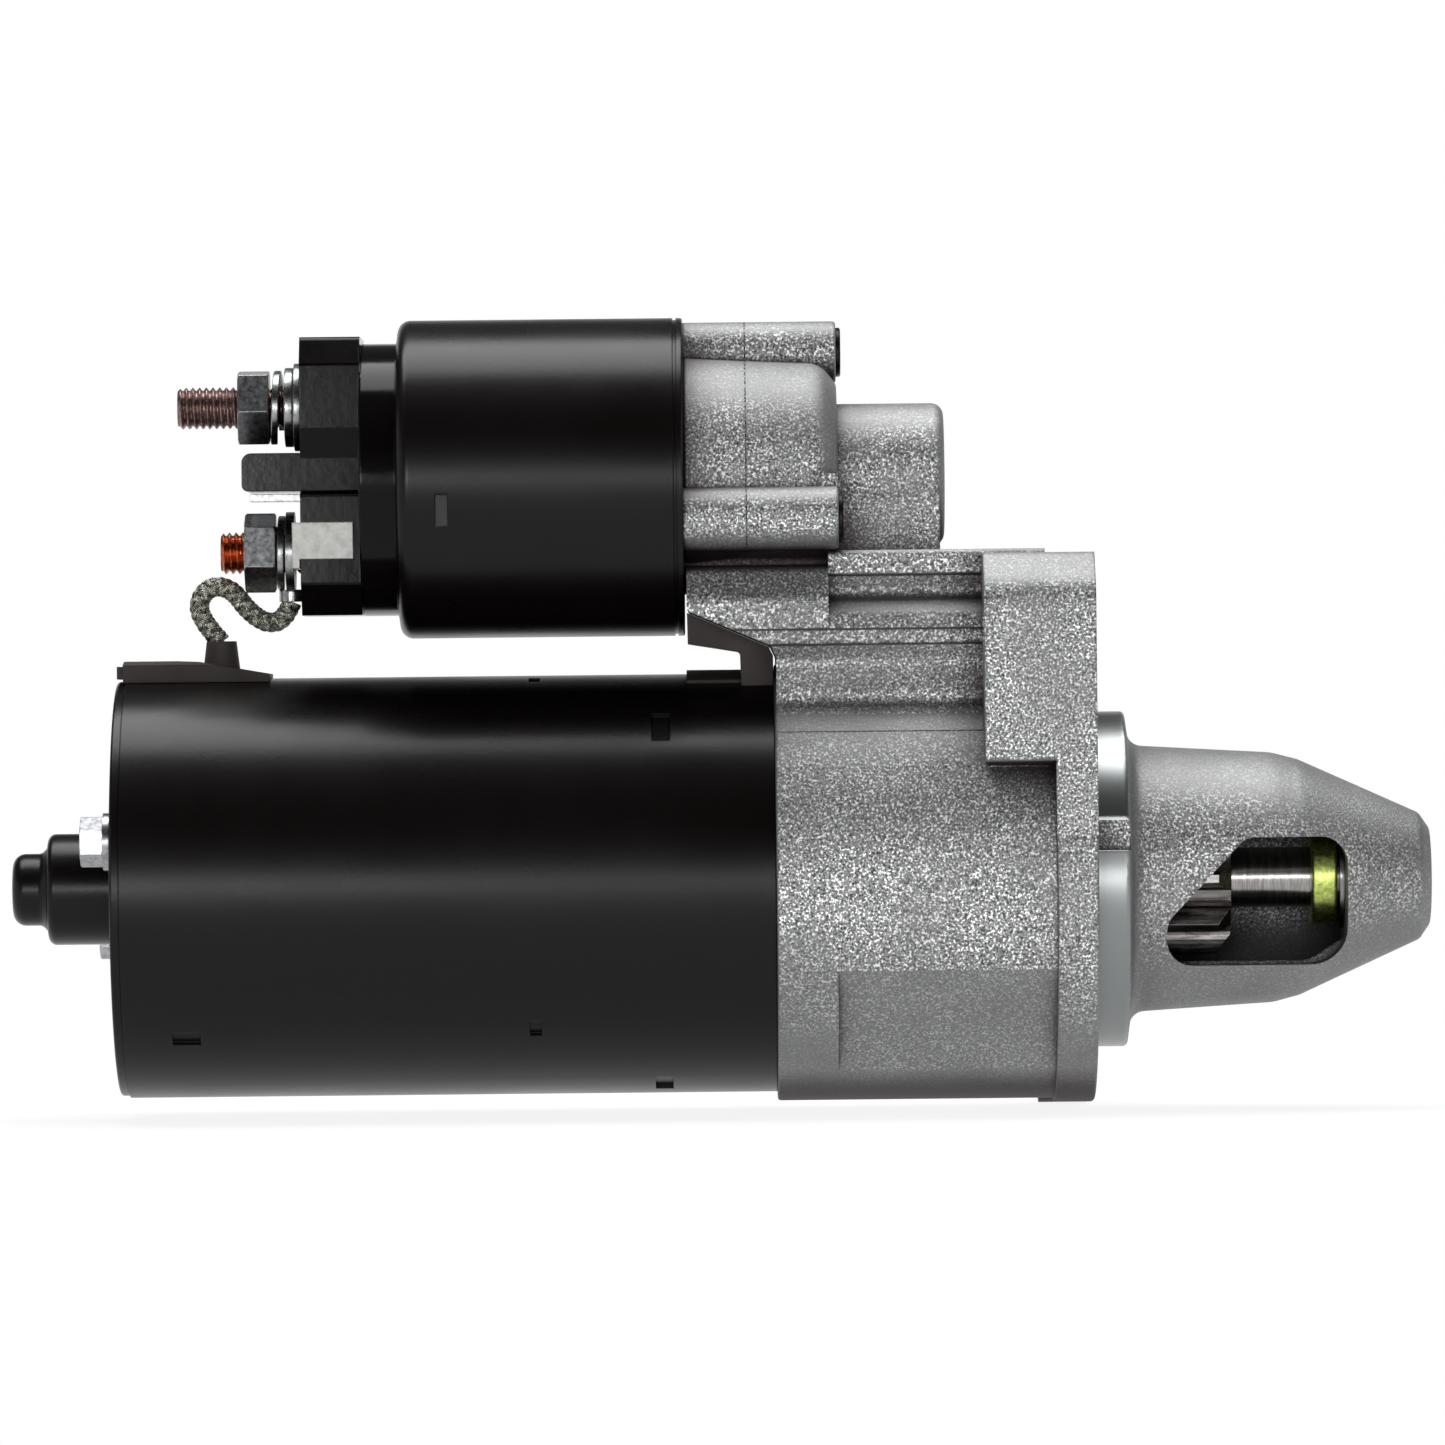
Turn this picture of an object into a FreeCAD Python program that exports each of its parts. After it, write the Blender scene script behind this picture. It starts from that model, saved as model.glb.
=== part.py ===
import FreeCAD, Part
import math
import os

# A starter motor: a permanent-magnet motor with a planetary gear, and its solenoid above it.
# Millimetres. The motor's axis is X, with the nose at +X, and the solenoid's axis lies above it.
# The origin is on the motor's axis, in the mounting face of the flange.
# An angle about either axis is counted from -Y, upwards.

V = FreeCAD.Vector
ALONG = V(1, 0, 0)

# ---- clearances ----
fit = 0.05            # between pieces that are pressed, glued or bolted together
run = 0.05            # radial, a shaft in its bush
free = 0.4            # between pieces that move past each other
bolt_room = 0.3       # radial, a bolt in a plain hole

# ---- yoke, rear cover and their bolts ----
yoke_radius = 39.0
yoke_wall = 4.0
yoke_back = -179.5
yoke_front = -59.0
yoke_bore = yoke_radius - yoke_wall
cover_depth = 1.8
cover_lip = 1.2
cover_back = yoke_back - cover_depth
hub_radius = 10.35
hub_back = -194.6
cap_back = -201.2
bolt_radius = 2.45
bolt_circle = 31.5
bolt_angle = 16.8
bolt_head_across = 8.0
bolt_head_height = 4.2
bolt_washer_radius = 5.3
bolt_washer_height = 1.3
bolt_front = -22.0
stake_depth = 0.9

# ---- motor inside ----
armature_radius = 27.3
armature_back = -140.0
armature_front = -85.0
armature_slots = 20
slot_width = 3.0
slot_depth = 7.0
winding_radius = 24.0
winding_back = -149.0
winding_front = -74.0
commutator_radius = 16.5
commutator_back = -172.0
commutator_front = -150.0
shaft_radius = 4.0
shaft_back = -198.6
cap_radius = shaft_radius + 2.7
pilot_radius = 3.0
pilot_front = -35.5
magnet_count = 6
magnet_span = 46.0
magnet_gap = 1.0
magnet_back = -142.0
magnet_front = -83.0
brush_width = 9.0
brush_length = 14.0
brush_outer = 28.0
brush_middle = -161.0
brush_count = 4
holder_wall = 1.0
plate_back = yoke_back + cover_lip + fit
plate_depth = 2.0
shield_depth = 3.0

# ---- planetary gear ----
module = 1.0
sun_teeth = 12
planet_teeth = 18
ring_teeth = sun_teeth + 2 * planet_teeth
planet_count = 3
orbit = module * (sun_teeth + planet_teeth) / 2
backlash = 0.15
pressure = math.radians(20)
gear_back = -55.0
gear_front = -43.0
ring_outer = yoke_bore + 1.8
ring_front = -33.1
ring_wall = 3.9
carrier_depth = 4.0
carrier_radius = 22.0
pin_radius = 3.0

# ---- output shaft and drive ----
output_radius = 5.6
spline_radius = 7.0
spline_count = 10
spline_front = -2.0
shaft_front = 58.0
pinion_teeth = 9
pinion_module = 2.54
pinion_tip = 14.2
pinion_root = 8.6
pinion_back = 7.6
pinion_front = 25.6
pinion_shift = 0.35
collar_back = 40.7
collar_front = 45.4
collar_radius = 8.9
drive_travel = collar_back - pinion_front - 0.3
clutch_radius = 19.0
clutch_back = -20.0
clutch_front = -2.0
track_radius = 10.4
roller_radius = 1.9
roller_count = 6
sleeve_radius = 9.4
sleeve_back = -31.6
ring_middle = -25.0
groove_half = 2.7
groove_radius = 12.4
drive_ring_radius = 17.0
drive_ring_half = 4.0

# ---- fork lever ----
pivot_x = -25.0
pivot_z = yoke_radius + 3.0
pivot_radius = 3.0
hook_x = -35.5
hook_radius = 2.5
hook_half = 5.6
arm_half = 3.2
pad_radius = 2.2
prong_inner = drive_ring_radius + free
prong_outer = 20.4
swing = math.asin(drive_travel / pivot_z)

# ---- solenoid ----
case_gap = 7.15        # between the yoke and the can
can_radius = 29.65
solenoid_z = yoke_radius + case_gap + can_radius
can_low = solenoid_z - can_radius
can_wall = 2.85
can_back = -128.4
can_front = -75.4
can_end = 4.0
hook_reach = math.hypot(hook_x - pivot_x, solenoid_z - pivot_z)
hook_lean = math.atan2(pivot_x - hook_x, solenoid_z - pivot_z)
plunger_travel = hook_reach * (math.sin(hook_lean + swing) - math.sin(hook_lean))
plunger_radius = 9.5
stem_radius = 6.0
hook_play = 0.5
head_back = hook_x - hook_radius - hook_play - 7.0
core_front = -112.0
core_back = -120.0
core_depth = 4.1
bobbin_flange = 1.6
bobbin_wall = 1.4
plunger_back = core_front + plunger_travel + 0.3
contact_travel = 2.5
rod_radius = 2.0
chamber_radius = 20.0
chamber_back = -138.5

# ---- terminal cap and its studs ----
collar_outer = 26.0
cap_face = -146.4
cap_shoulder = -135.3
cap_top = solenoid_z + 26.4
cap_bottom = solenoid_z - 25.3
cap_half = 16.0
cap_wall = 2.0
stud_radius = 3.9
thread_radius = 3.6
battery_z = solenoid_z + 13.7
motor_z = solenoid_z - 13.4
battery_tip = -169.6
motor_tip = -161.8
nut_across = 13.0
nut_height = 5.8
battery_nut_front = -152.5
motor_nut_front = -151.5
lead_radius = 2.0

# The lead's route, as (x, z) in the plane y = 0, from the grommet to its lug.
lead_route = [(-161.9, 45.8), (-165.4, 49.6), (-166.3, 53.5), (-163.7, 56.5), (-159.8, 55.7),
              (-156.9, 51.6), (-153.3, 49.1), (-150.0, 50.0), (-148.7, 53.2)]

# ---- drive-end housing ----
barrel_radius = yoke_radius + 1.7
flange_radius = barrel_radius + 0.8
flange_depth = 7.6
spigot_radius = 31.25
spigot_depth = 6.2
pocket_radius = ring_outer + 0.2
neck_back = -48.8
neck_front = -8.8
neck_top = yoke_radius + 22.5
neck_half = 25.0
ear_back = -20.5
ear_bolt_y = -31.0
ear_bolt_z = 47.5
low_bolt_y = 38.5
low_bolt_z = -32.0
ear_wall = 4.3
flange_hole_radius = 5.25
ear_side = ear_bolt_y - flange_hole_radius - ear_wall
low_ear_depth = 9.3
bracket_front = -46.8
bracket_radius = 21.0
screw_circle = 23.4
screw_boss_radius = 5.8
screw_head_radius = 5.0
screw_angles = (-20.8, 99.2, 219.2)
screw_radius = 2.45
dome_radius = 13.3
dome_front = -26.9
dome_bore = 10.6
dome_bore_front = -29.4
cavity_radius = 26.5
drive_bore = 20.5
nose_bore = 16.5
nose_tip = 62.9
bush_wall = 2.0
nose_bush_back = 47.0


# ---------------------------------------------------------------- helpers


def around(angle, radius):
    """The (y, z) of a point at an angle from -Y, upwards."""
    turn = math.radians(angle)
    return -radius * math.cos(turn), radius * math.sin(turn)


def rod(radius, x0, x1, y=0.0, z=0.0):
    return Part.makeCylinder(radius, x1 - x0, V(x0, y, z), ALONG)


def tube(outer, inner, x0, x1, y=0.0, z=0.0):
    return rod(outer, x0, x1, y, z).cut(rod(inner, x0 - 1, x1 + 1, y, z))


def block(x0, x1, y0, y1, z0, z1):
    return Part.makeBox(x1 - x0, y1 - y0, z1 - z0, V(x0, y0, z0))


def turned_about(shape, angle, z=0.0):
    """The shape turned about the motor's or the solenoid's axis, from -Y upwards."""
    return shape.rotated(V(0, 0, z), ALONG, -angle)


def outline(points, place):
    """A closed wire through the points. A third number at a point is the radius of its corner."""
    corners = []
    for index, point in enumerate(points):
        here = place(point[0], point[1])
        radius = point[2] if len(point) > 2 else 0.0
        if radius == 0.0:
            corners.append((here, here, None))
            continue
        last = points[index - 1]
        following = points[(index + 1) % len(points)]
        back = (place(last[0], last[1]) - here).normalize()
        onward = (place(following[0], following[1]) - here).normalize()
        half = back.getAngle(onward) / 2
        reach = radius / math.tan(half)
        inward = (back + onward).normalize()
        middle = here + inward * (radius / math.sin(half) - radius)
        corners.append((here + back * reach, here + onward * reach, middle))
    edges = []
    for index, (start, end, middle) in enumerate(corners):
        before = corners[index - 1][1]
        if before.distanceToPoint(start) > 1e-6:
            edges.append(Part.LineSegment(before, start).toShape())
        if middle is not None:
            edges.append(Part.Arc(start, middle, end).toShape())
    return Part.Wire(edges)


def in_xz(a, b):
    return V(a, 0, b)


def in_yz(a, b):
    return V(0, a, b)


def prism(points, y0, y1):
    """An (x, z) outline, as thick as from y0 to y1."""
    face = Part.Face(outline(points, in_xz)).translated(V(0, y0, 0))
    return face.extrude(V(0, y1 - y0, 0))


def bar(points, x0, x1):
    """A (y, z) outline, as long as from x0 to x1."""
    face = Part.Face(outline(points, in_yz)).translated(V(x0, 0, 0))
    return face.extrude(V(x1 - x0, 0, 0))


def turned(points, z=0.0):
    """An (x, radius) outline turned about an axis along X at height z."""
    return Part.Face(outline(points, in_xz)).revolve(V(0, 0, 0), ALONG, 360).translated(V(0, 0, z))


def hexagon(across, x0, x1, y, z, flat_angle=30.0):
    """A hexagonal bar along X with its corners chamfered at both ends."""
    corner = across / math.sqrt(3)
    points = [around(flat_angle + 60 * k, corner) for k in range(6)]
    middle = (across / 2 + corner) / 2
    slope = corner - middle
    shell = turned([(x0, 0), (x0, middle), (x0 + slope * 0.6, corner + 0.01),
                    (x1 - slope * 0.6, corner + 0.01), (x1, middle), (x1, 0)])
    return bar(points, x0, x1).common(shell).translated(V(0, y, z))


def arc_block(outer, inner, x0, x1, middle, span, z=0.0):
    """A piece of a ring, a span of degrees wide about its middle angle."""
    size = outer * 2
    half = math.radians(span / 2)
    wedge = bar([(0, 0), (-size, size * math.tan(half)), (-size, -size * math.tan(half))], x0, x1)
    ring = tube(outer, inner, x0, x1)
    return turned_about(ring.common(wedge), middle).translated(V(0, 0, z))


def involute(radius, base):
    """The involute angle at a radius outside the base circle."""
    if radius <= base:
        return 0.0
    slope = math.acos(base / radius)
    return math.tan(slope) - slope


def gear(teeth, size, tip, root, x0, x1, thinner, shift=0.0, phase=0.0):
    """A spur gear with involute flanks, each thinner by a given length at the pitch circle."""
    pitch = teeth * size / 2
    base = pitch * math.cos(pressure)
    half = (math.pi / 2 + 2 * shift * math.tan(pressure)) / teeth - thinner / pitch
    steps = 5
    low = max(base, root + 0.05)
    radii = [low + (tip - low) * k / steps for k in range(steps + 1)]
    flank = [(root, half + involute(pitch, base) - involute(low, base))]
    flank += [(r, half + involute(pitch, base) - involute(r, base)) for r in radii]
    points = []
    for tooth in range(teeth):
        middle = phase + 2 * math.pi * tooth / teeth
        side = [(r, middle - a) for r, a in flank]
        side += [(r, middle + a) for r, a in reversed(flank)]
        points += [(-r * math.cos(a), r * math.sin(a)) for r, a in side]
    return bar(points, x0, x1)


def pair(shape):
    """The shape and its opposite, half a turn about the motor's axis."""
    return Part.makeCompound([shape, shape.rotated(V(0, 0, 0), ALONG, 180)])


def coil_spring(mean_radius, wire, x0, x1, turns, z):
    """A compression spring along X, its ends inside x0 and x1."""
    pitch = (x1 - x0 - wire) / turns
    path = Part.makeHelix(pitch, pitch * turns, mean_radius)
    start = Part.Wire(Part.Circle(V(mean_radius, 0, 0), V(0, 1, 0), wire / 2).toShape())
    body = Part.Wire(path).makePipeShell([start], True, True)
    body.rotate(V(0, 0, 0), V(0, 1, 0), 90)
    return body.translated(V(x0 + wire / 2, 0, z))


def write(name, shape):
    """One STEP file for a node, after its solids are checked."""
    for solid in shape.Solids:
        if not solid.isValid() or solid.Volume <= 0:
            print("not sound:", name)
    print(f"{name}: {len(shape.Solids)} solids, {shape.Volume:.0f} mm3")
    shape.exportStep("parts/" + name + ".step")


# ---------------------------------------------------------------- drive-end housing


def housing_outside():
    """The casting's outer form, before anything is hollowed out."""
    barrel = turned([(yoke_front, 0), (yoke_front, barrel_radius, 0.6),
                     (-flange_depth, barrel_radius), (-flange_depth, flange_radius, 0.4),
                     (0, flange_radius, 0.8), (0, 0)])
    spigot = turned([(-1, 0), (-1, spigot_radius), (spigot_depth, spigot_radius, 0.8),
                     (spigot_depth, 0)])
    nose = turned([(0, 0), (0, 30.4), (spigot_depth, 30.4), (7.0, 24.9, 3.0), (33.5, 23.3, 8),
                   (38.5, 22.0, 6), (61.0, 11.8, 2.0), (nose_tip, 9.0, 1.0), (nose_tip, 0)])
    return barrel.multiFuse([spigot, nose] + neck_pieces() + bracket_pieces() + ear_pieces())


def neck_pieces():
    """The box that holds the lever, with flutes along its near side."""
    side = neck_half
    top = neck_top
    groove = [(-side + 3.4, top - 4.2), (-side + 5.0, top - 8.0, 2)]
    near_side = [(-side + 0.6, top - 11.6, 3), (-side - 0.2, top - 14.4), (-side + 0.5, top - 14.8),
                 (-side + 0.4, top - 17.3), (-side - 0.4, top - 17.7), (-side - 1.6, top - 20.7, 3),
                 (-side + 0.9, top - 27.2, 3), (-side - 2.0, top - 31.6, 3),
                 (-side - 4.6, top - 33.4), (-side - 4.2, top - 33.8), (-side - 7.4, top - 38.4),
                 (-side - 8.9, top - 40.0), (-side - 9.7, top - 40.0), (-side - 9.7, top - 43.5)]
    far_side = [(side, top - 43.5), (side, top - 7.5, 6)]
    shoulder = bar([(17, top - 4.0, 3)] + groove + near_side + far_side, can_front + 0.2, neck_front)
    bulge = bar([(-10, top - 2.6), (-side + 3.0, top - 2.6, 2.5), (-side, top - 9.0, 3),
                 (-side - 0.2, top - 14.4), (-10, top - 14.4)], can_front + 0.2, neck_back)
    low = top - 44.5
    side_view = prism([(-58.6, low), (-58.6, yoke_radius + 3.0, 2), (-59.6, yoke_radius + 5.0, 1),
                       (-75.0, can_low + 4.45, 1), (-75.0, top - 1.5), (neck_front + 1, top - 1.5),
                       (neck_front + 1, low)], -50, 50)
    tier = bar([(-side + 2.6, top - 4.4, 0.8), (-side + 3.0, top, 1.2), (18, top, 4),
                (22, top - 6.5), (-side + 8.0, top - 6.5)], neck_back, neck_front)
    return [shoulder.fuse(bulge).common(side_view), tier]


def bracket_pieces():
    """What the solenoid is screwed to, and the dome over its plunger."""
    base = turned([(can_front, 0), (can_front, bracket_radius + 1.2, 0.6),
                   (-64.2, bracket_radius + 0.6), (bracket_front - 3, bracket_radius, 5),
                   (bracket_front, 17, 2), (bracket_front, 0)], solenoid_z)
    dome = turned([(bracket_front - 2, 0), (bracket_front - 2, dome_radius),
                   (dome_front, dome_radius, 2.3), (dome_front, 0)], solenoid_z)
    web = bar([(-12.5, neck_top - 4), (-12.5, solenoid_z), (12.5, solenoid_z),
               (12.5, neck_top - 4)], bracket_front - 2, dome_front - 1)
    apron = bar([(-14.0, neck_top - 7), (-15.0, neck_top - 1.5, 1.5), (-20.5, solenoid_z - 8, 2),
                 (-20.5, solenoid_z), (20.5, solenoid_z), (20.5, solenoid_z - 8, 2),
                 (20, neck_top - 7)], can_front, bracket_front)
    pieces = [base, dome, web, apron]
    for angle in screw_angles:
        y, z = around(angle, screw_circle)
        boss = turned([(can_front, 0), (can_front, screw_boss_radius),
                       (bracket_front, screw_boss_radius, 0.6), (bracket_front, 0)])
        pieces.append(boss.translated(V(0, y, solenoid_z + z)))
    return pieces


def ear_pieces():
    """The two ears that take the mounting bolts."""
    low = neck_top - 39.3
    high = neck_top - 0.9
    upper = bar([(ear_side, low, 1), (ear_side, high - 6.6, 7), (ear_side + 8, high, 4),
                 (17, high, 5), (23, high - 10.6, 4), (23, low)], ear_back, -0.01)
    angle = math.degrees(math.atan2(low_bolt_z, -low_bolt_y))
    reach = math.hypot(low_bolt_y, low_bolt_z)
    boss_radius = flange_hole_radius + 5.65
    boss = rod(boss_radius, -low_ear_depth, -0.01, -reach, 0)
    web = bar([(-reach, boss_radius), (0, 34), (0, -34), (-reach, -boss_radius)],
              -low_ear_depth, -0.01)
    lower = turned_about(boss.fuse(web), angle)
    skirt = bar([(ear_side, low + 2), (ear_side, 8.0), (0, 8.0), (0, low + 2)], -flange_depth, -0.01)
    return [upper, lower, skirt]


def housing_hollows():
    """Everything that is cut out of the casting."""
    cuts = [rod(pocket_radius, yoke_front - 1, ring_front + 0.1),
            rod(cavity_radius, ring_front - 1, -1.0),
            rod(drive_bore, -2.0, 13.0),
            turned([(12, 0), (12, nose_bore), (40, nose_bore, 6), (46.8, 12.5), (46.8, 0)]),
            rod(output_radius + bush_wall + run, 46, 60.6)]
    cuts += lever_hollows()
    cuts += [window_cut(), notch_cut(), plate_flat()]
    cuts += [pair(rod(bolt_radius + fit, ring_front - 1, bolt_front + 1, *around(bolt_angle,
                                                                               bolt_circle)))]
    for angle in screw_angles:
        y, z = around(angle, screw_circle)
        cuts.append(rod(screw_radius + bolt_room, can_front - 1, bracket_front + 1, y,
                        solenoid_z + z))
        cuts.append(rod(screw_head_radius + free, bracket_front, ear_back - 2, y, solenoid_z + z))
    cuts.append(rod(flange_hole_radius, ear_back - 1, 1, ear_bolt_y, ear_bolt_z))
    cuts.append(rod(flange_hole_radius, -low_ear_depth - 1, 1, low_bolt_y, low_bolt_z))
    return cuts


def lever_hollows():
    """The room in which the lever swings, and its pin's holes."""
    fork_room = block(-34.5, -8.0 + 0.8, -prong_outer - 0.9, prong_outer + 0.9, 8, pivot_z + 8.5)
    arm_room = prism([(-33, pivot_z - 6), (-46.5, pivot_z + 8, 3), (-51.0, solenoid_z - 13.8),
                      (-51.0, solenoid_z), (dome_bore_front, solenoid_z),
                      (dome_bore_front, solenoid_z - 17.2, 1), (-17, pivot_z + 8, 2),
                      (-17, pivot_z - 6)], -hook_half - 0.6, hook_half + 0.6)
    plunger_room = rod(dome_bore, can_front - 1, dome_bore_front, 0, solenoid_z)
    pin = Part.makeCylinder(pivot_radius + fit, 60, V(pivot_x, -23.0, pivot_z), V(0, 1, 0))
    return [fork_room, arm_room, plunger_room, pin]


def window_cut():
    """The window through which the pinion meets the flywheel."""
    return prism([(13.0, -7.9, 5), (27.8, 7.7, 4), (46.8, 7.7, 5), (46.8, -16.0, 6.5),
                  (13.0, -16.0, 5)], -40, -6)


def notch_cut():
    """A shallow cast notch in the near side of the pilot."""
    return block(0, spigot_depth + 0.1, -32, -28.9, 5.7, 13.2)


def plate_flat():
    """A flat on the near side, low down, where a plate may be stuck."""
    flat = block(-47.8, -flange_depth, -barrel_radius - 3, -barrel_radius + 1.9, -13.2, 13.2)
    return turned_about(flat, -40.5)


def make_housing():
    body = housing_outside().cut(Part.makeCompound(housing_hollows()))
    return body.removeSplitter()


# ---------------------------------------------------------------- yoke and rear


def make_yoke():
    """The pole housing: a steel tube with pressed stakes."""
    body = tube(yoke_radius, yoke_bore, yoke_back, yoke_front)
    marks = []
    stakes = [(-80.0, 3.3, 7.4, (48.7, -71.3, 168.7)), (-103.5, 2.2, 3.7, (78.0, -42.0, -162.0)),
              (-167.8, 5.2, 3.2, (-44.6,))]
    for x, length, width, angles in stakes:
        for angle in angles:
            mark = bar([(-yoke_radius - 1, -width / 2), (-yoke_radius - 1, width / 2),
                        (-yoke_radius + stake_depth, width / 2),
                        (-yoke_radius + stake_depth, -width / 2)], x - length / 2, x + length / 2)
            marks.append(turned_about(mark, angle))
    return body.cut(Part.makeCompound(marks))


def make_rear_cover():
    """A pressed disc with a hub that holds the rear bush."""
    hub = [(cover_back, 0), (cover_back, yoke_radius - 0.4, 0.6), (yoke_back, yoke_radius - 0.4),
           (yoke_back, yoke_bore - fit), (yoke_back + cover_lip, yoke_bore - fit),
           (yoke_back + cover_lip, 0)]
    body = turned(hub).fuse(turned([(hub_back, 0), (hub_back, hub_radius, 1.5),
                                    (cover_back - 0.9, hub_radius),
                                    (cover_back, hub_radius + 0.9), (cover_back, 0)]))
    cuts = [rod(shaft_radius + bush_wall + run, hub_back + 2.4, yoke_back + 2),
            rod(cap_radius - 0.8, hub_back - 1, hub_back + 3),
            pair(rod(bolt_radius + bolt_room, cover_back - 1, yoke_back + 2,
                     *around(bolt_angle, bolt_circle)))]
    return body.cut(Part.makeCompound(cuts))


def make_end_cap():
    """The small cap over the shaft's end."""
    outer = turned([(cap_back, 0), (cap_back, cap_radius, 2.4), (hub_back - 1.2, cap_radius, 1.5),
                    (hub_back, cap_radius + 1.3), (hub_back, 0)])
    inner = turned([(cap_back + 1.2, 0), (cap_back + 1.2, cap_radius - 1.1, 1.5),
                    (hub_back + 0.1, cap_radius - 1.1), (hub_back + 0.1, 0)])
    return outer.cut(inner)


def make_through_bolts():
    """Two long bolts from the rear cover into the housing."""
    y, z = around(bolt_angle, bolt_circle)
    head_back = cover_back - bolt_washer_height - bolt_head_height
    head = hexagon(bolt_head_across, head_back, cover_back - bolt_washer_height, y, z)
    shank = rod(bolt_radius, head_back + 1, bolt_front, y, z)
    washer = rod(bolt_washer_radius, cover_back - bolt_washer_height, cover_back, y, z)
    return pair(head.fuse(shank).fuse(washer))


def make_magnets():
    """Six magnets, glued inside the yoke, with the bolts passing between two of them."""
    solids = []
    for k in range(magnet_count):
        middle = bolt_angle + (k + 0.5) * 360 / magnet_count
        solids.append(arc_block(yoke_bore - fit, armature_radius + magnet_gap, magnet_back,
                                magnet_front, middle, magnet_span))
    return Part.makeCompound(solids)


def make_shield_plate():
    """The plate that keeps the gear's grease out of the motor."""
    front = gear_back - 3.5
    plate = rod(yoke_bore - fit, front - shield_depth, front)
    holes = [rod(9.0, front - 10, front + 1),
             pair(rod(bolt_radius + bolt_room, front - 10, front + 1, *around(bolt_angle,
                                                                           bolt_circle)))]
    return plate.cut(Part.makeCompound(holes))


def make_rear_bush():
    return tube(shaft_radius + bush_wall, shaft_radius + run, hub_back + 2.5, yoke_back)


# ---------------------------------------------------------------- armature


def make_armature_shaft():
    """The shaft, with the sun gear cut on it and a pilot at its front."""
    sun_tip = module * (sun_teeth / 2 + 0.8)
    sun_root = module * (sun_teeth / 2 - 1.2)
    sun = gear(sun_teeth, module, sun_tip, sun_root, gear_back, gear_front, backlash)
    groove = tube(shaft_radius + 1, shaft_radius - 0.7, shaft_back + 1.2, shaft_back + 2.3)
    body = rod(shaft_radius, shaft_back, gear_back).multiFuse([sun, rod(pilot_radius, gear_back,
                                                                        pilot_front)])
    return body.cut(groove)


def make_shaft_clip():
    """The clip in the groove at the shaft's end."""
    ring = tube(shaft_radius + 1.0, shaft_radius - 0.7 + fit, shaft_back + 1.25, shaft_back + 2.25)
    return ring.cut(block(shaft_back, shaft_back + 3, -1.5, 1.5, 0, 9))


def make_armature_core():
    """The stack of laminations with its slots."""
    body = tube(armature_radius, shaft_radius + fit, armature_back, armature_front)
    slots = []
    for k in range(armature_slots):
        slot = block(armature_back - 1, armature_front + 1, -armature_radius - 1,
                     -armature_radius + slot_depth, -slot_width / 2, slot_width / 2)
        slots.append(turned_about(slot, 360 * k / armature_slots))
    return body.cut(Part.makeCompound(slots))


def make_armature_winding():
    """The winding's overhangs at both ends of the core, joined through the slots."""
    inner = shaft_radius + 3
    back = turned([(winding_back, inner), (winding_back, 18, 2), (armature_back - 3, winding_radius, 3),
                   (armature_back, winding_radius), (armature_back, inner)])
    front = turned([(armature_front, inner), (armature_front, winding_radius),
                    (armature_front + 4, winding_radius, 3), (winding_front, 17, 3),
                    (winding_front, inner)])
    return Part.makeCompound([back, front])


def make_commutator():
    """The copper bars on the shaft, with the risers at their front."""
    bars = turned([(commutator_back, shaft_radius + fit), (commutator_back, commutator_radius, 0.5),
                   (commutator_front - 2.5, commutator_radius),
                   (commutator_front - 2.5, commutator_radius + 1.2),
                   (commutator_front + 0.8, commutator_radius + 1.2),
                   (commutator_front + 0.8, shaft_radius + fit)])
    return bars


# ---------------------------------------------------------------- brush gear


def brush_angles():
    return [bolt_angle + 45 + 90 * k for k in range(brush_count)]


def make_brush(angle):
    """A carbon brush, square to the commutator."""
    inner = commutator_radius + 0.3
    shape = block(brush_middle - brush_length / 2, brush_middle + brush_length / 2, -brush_outer,
                  -inner, -brush_width / 2, brush_width / 2)
    return turned_about(shape.cut(rod(inner, brush_middle - 20, brush_middle + 20)), angle)


def make_brush_holders():
    """Four box guides that stand on the brush plate, each closed at its outer end."""
    solids = []
    half = brush_width / 2 + free
    back = brush_middle - brush_length / 2 - free
    front = brush_middle + brush_length / 2 + free
    outer = yoke_bore - 0.8
    for angle in brush_angles():
        outside = block(plate_back + plate_depth, front + holder_wall, -outer,
                        -commutator_radius - 3.0, -half - holder_wall, half + holder_wall)
        inside = block(back, front, -outer + holder_wall, 0, -half, half)
        slot = block(plate_back, back - holder_wall, -outer - 1, 0, -half, half)
        guide = outside.cut(inside).cut(slot)
        guide = guide.common(rod(outer, -200, -100))
        solids.append(turned_about(guide, angle))
    return Part.makeCompound(solids)


def make_brush_spring(angle):
    """A short spring between a brush and its holder's end."""
    outer = yoke_bore - 0.8 - holder_wall
    length = outer - 0.7 - brush_outer
    spring = coil_spring(2.6, 0.7, 0.0, length, 3, 0)
    spring.rotate(V(0, 0, 0), V(0, 0, 1), -90)
    return turned_about(spring.translated(V(brush_middle, -brush_outer - 0.2, 0)), angle)


def make_brush_plate():
    """The plate that carries the brush holders."""
    plate = tube(yoke_bore - fit, commutator_radius + 2, plate_back, plate_back + plate_depth)
    return plate.cut(pair(rod(bolt_radius + bolt_room, plate_back - 1, plate_back + 5,
                              *around(bolt_angle, bolt_circle))))


# ---------------------------------------------------------------- planetary gear


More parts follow.
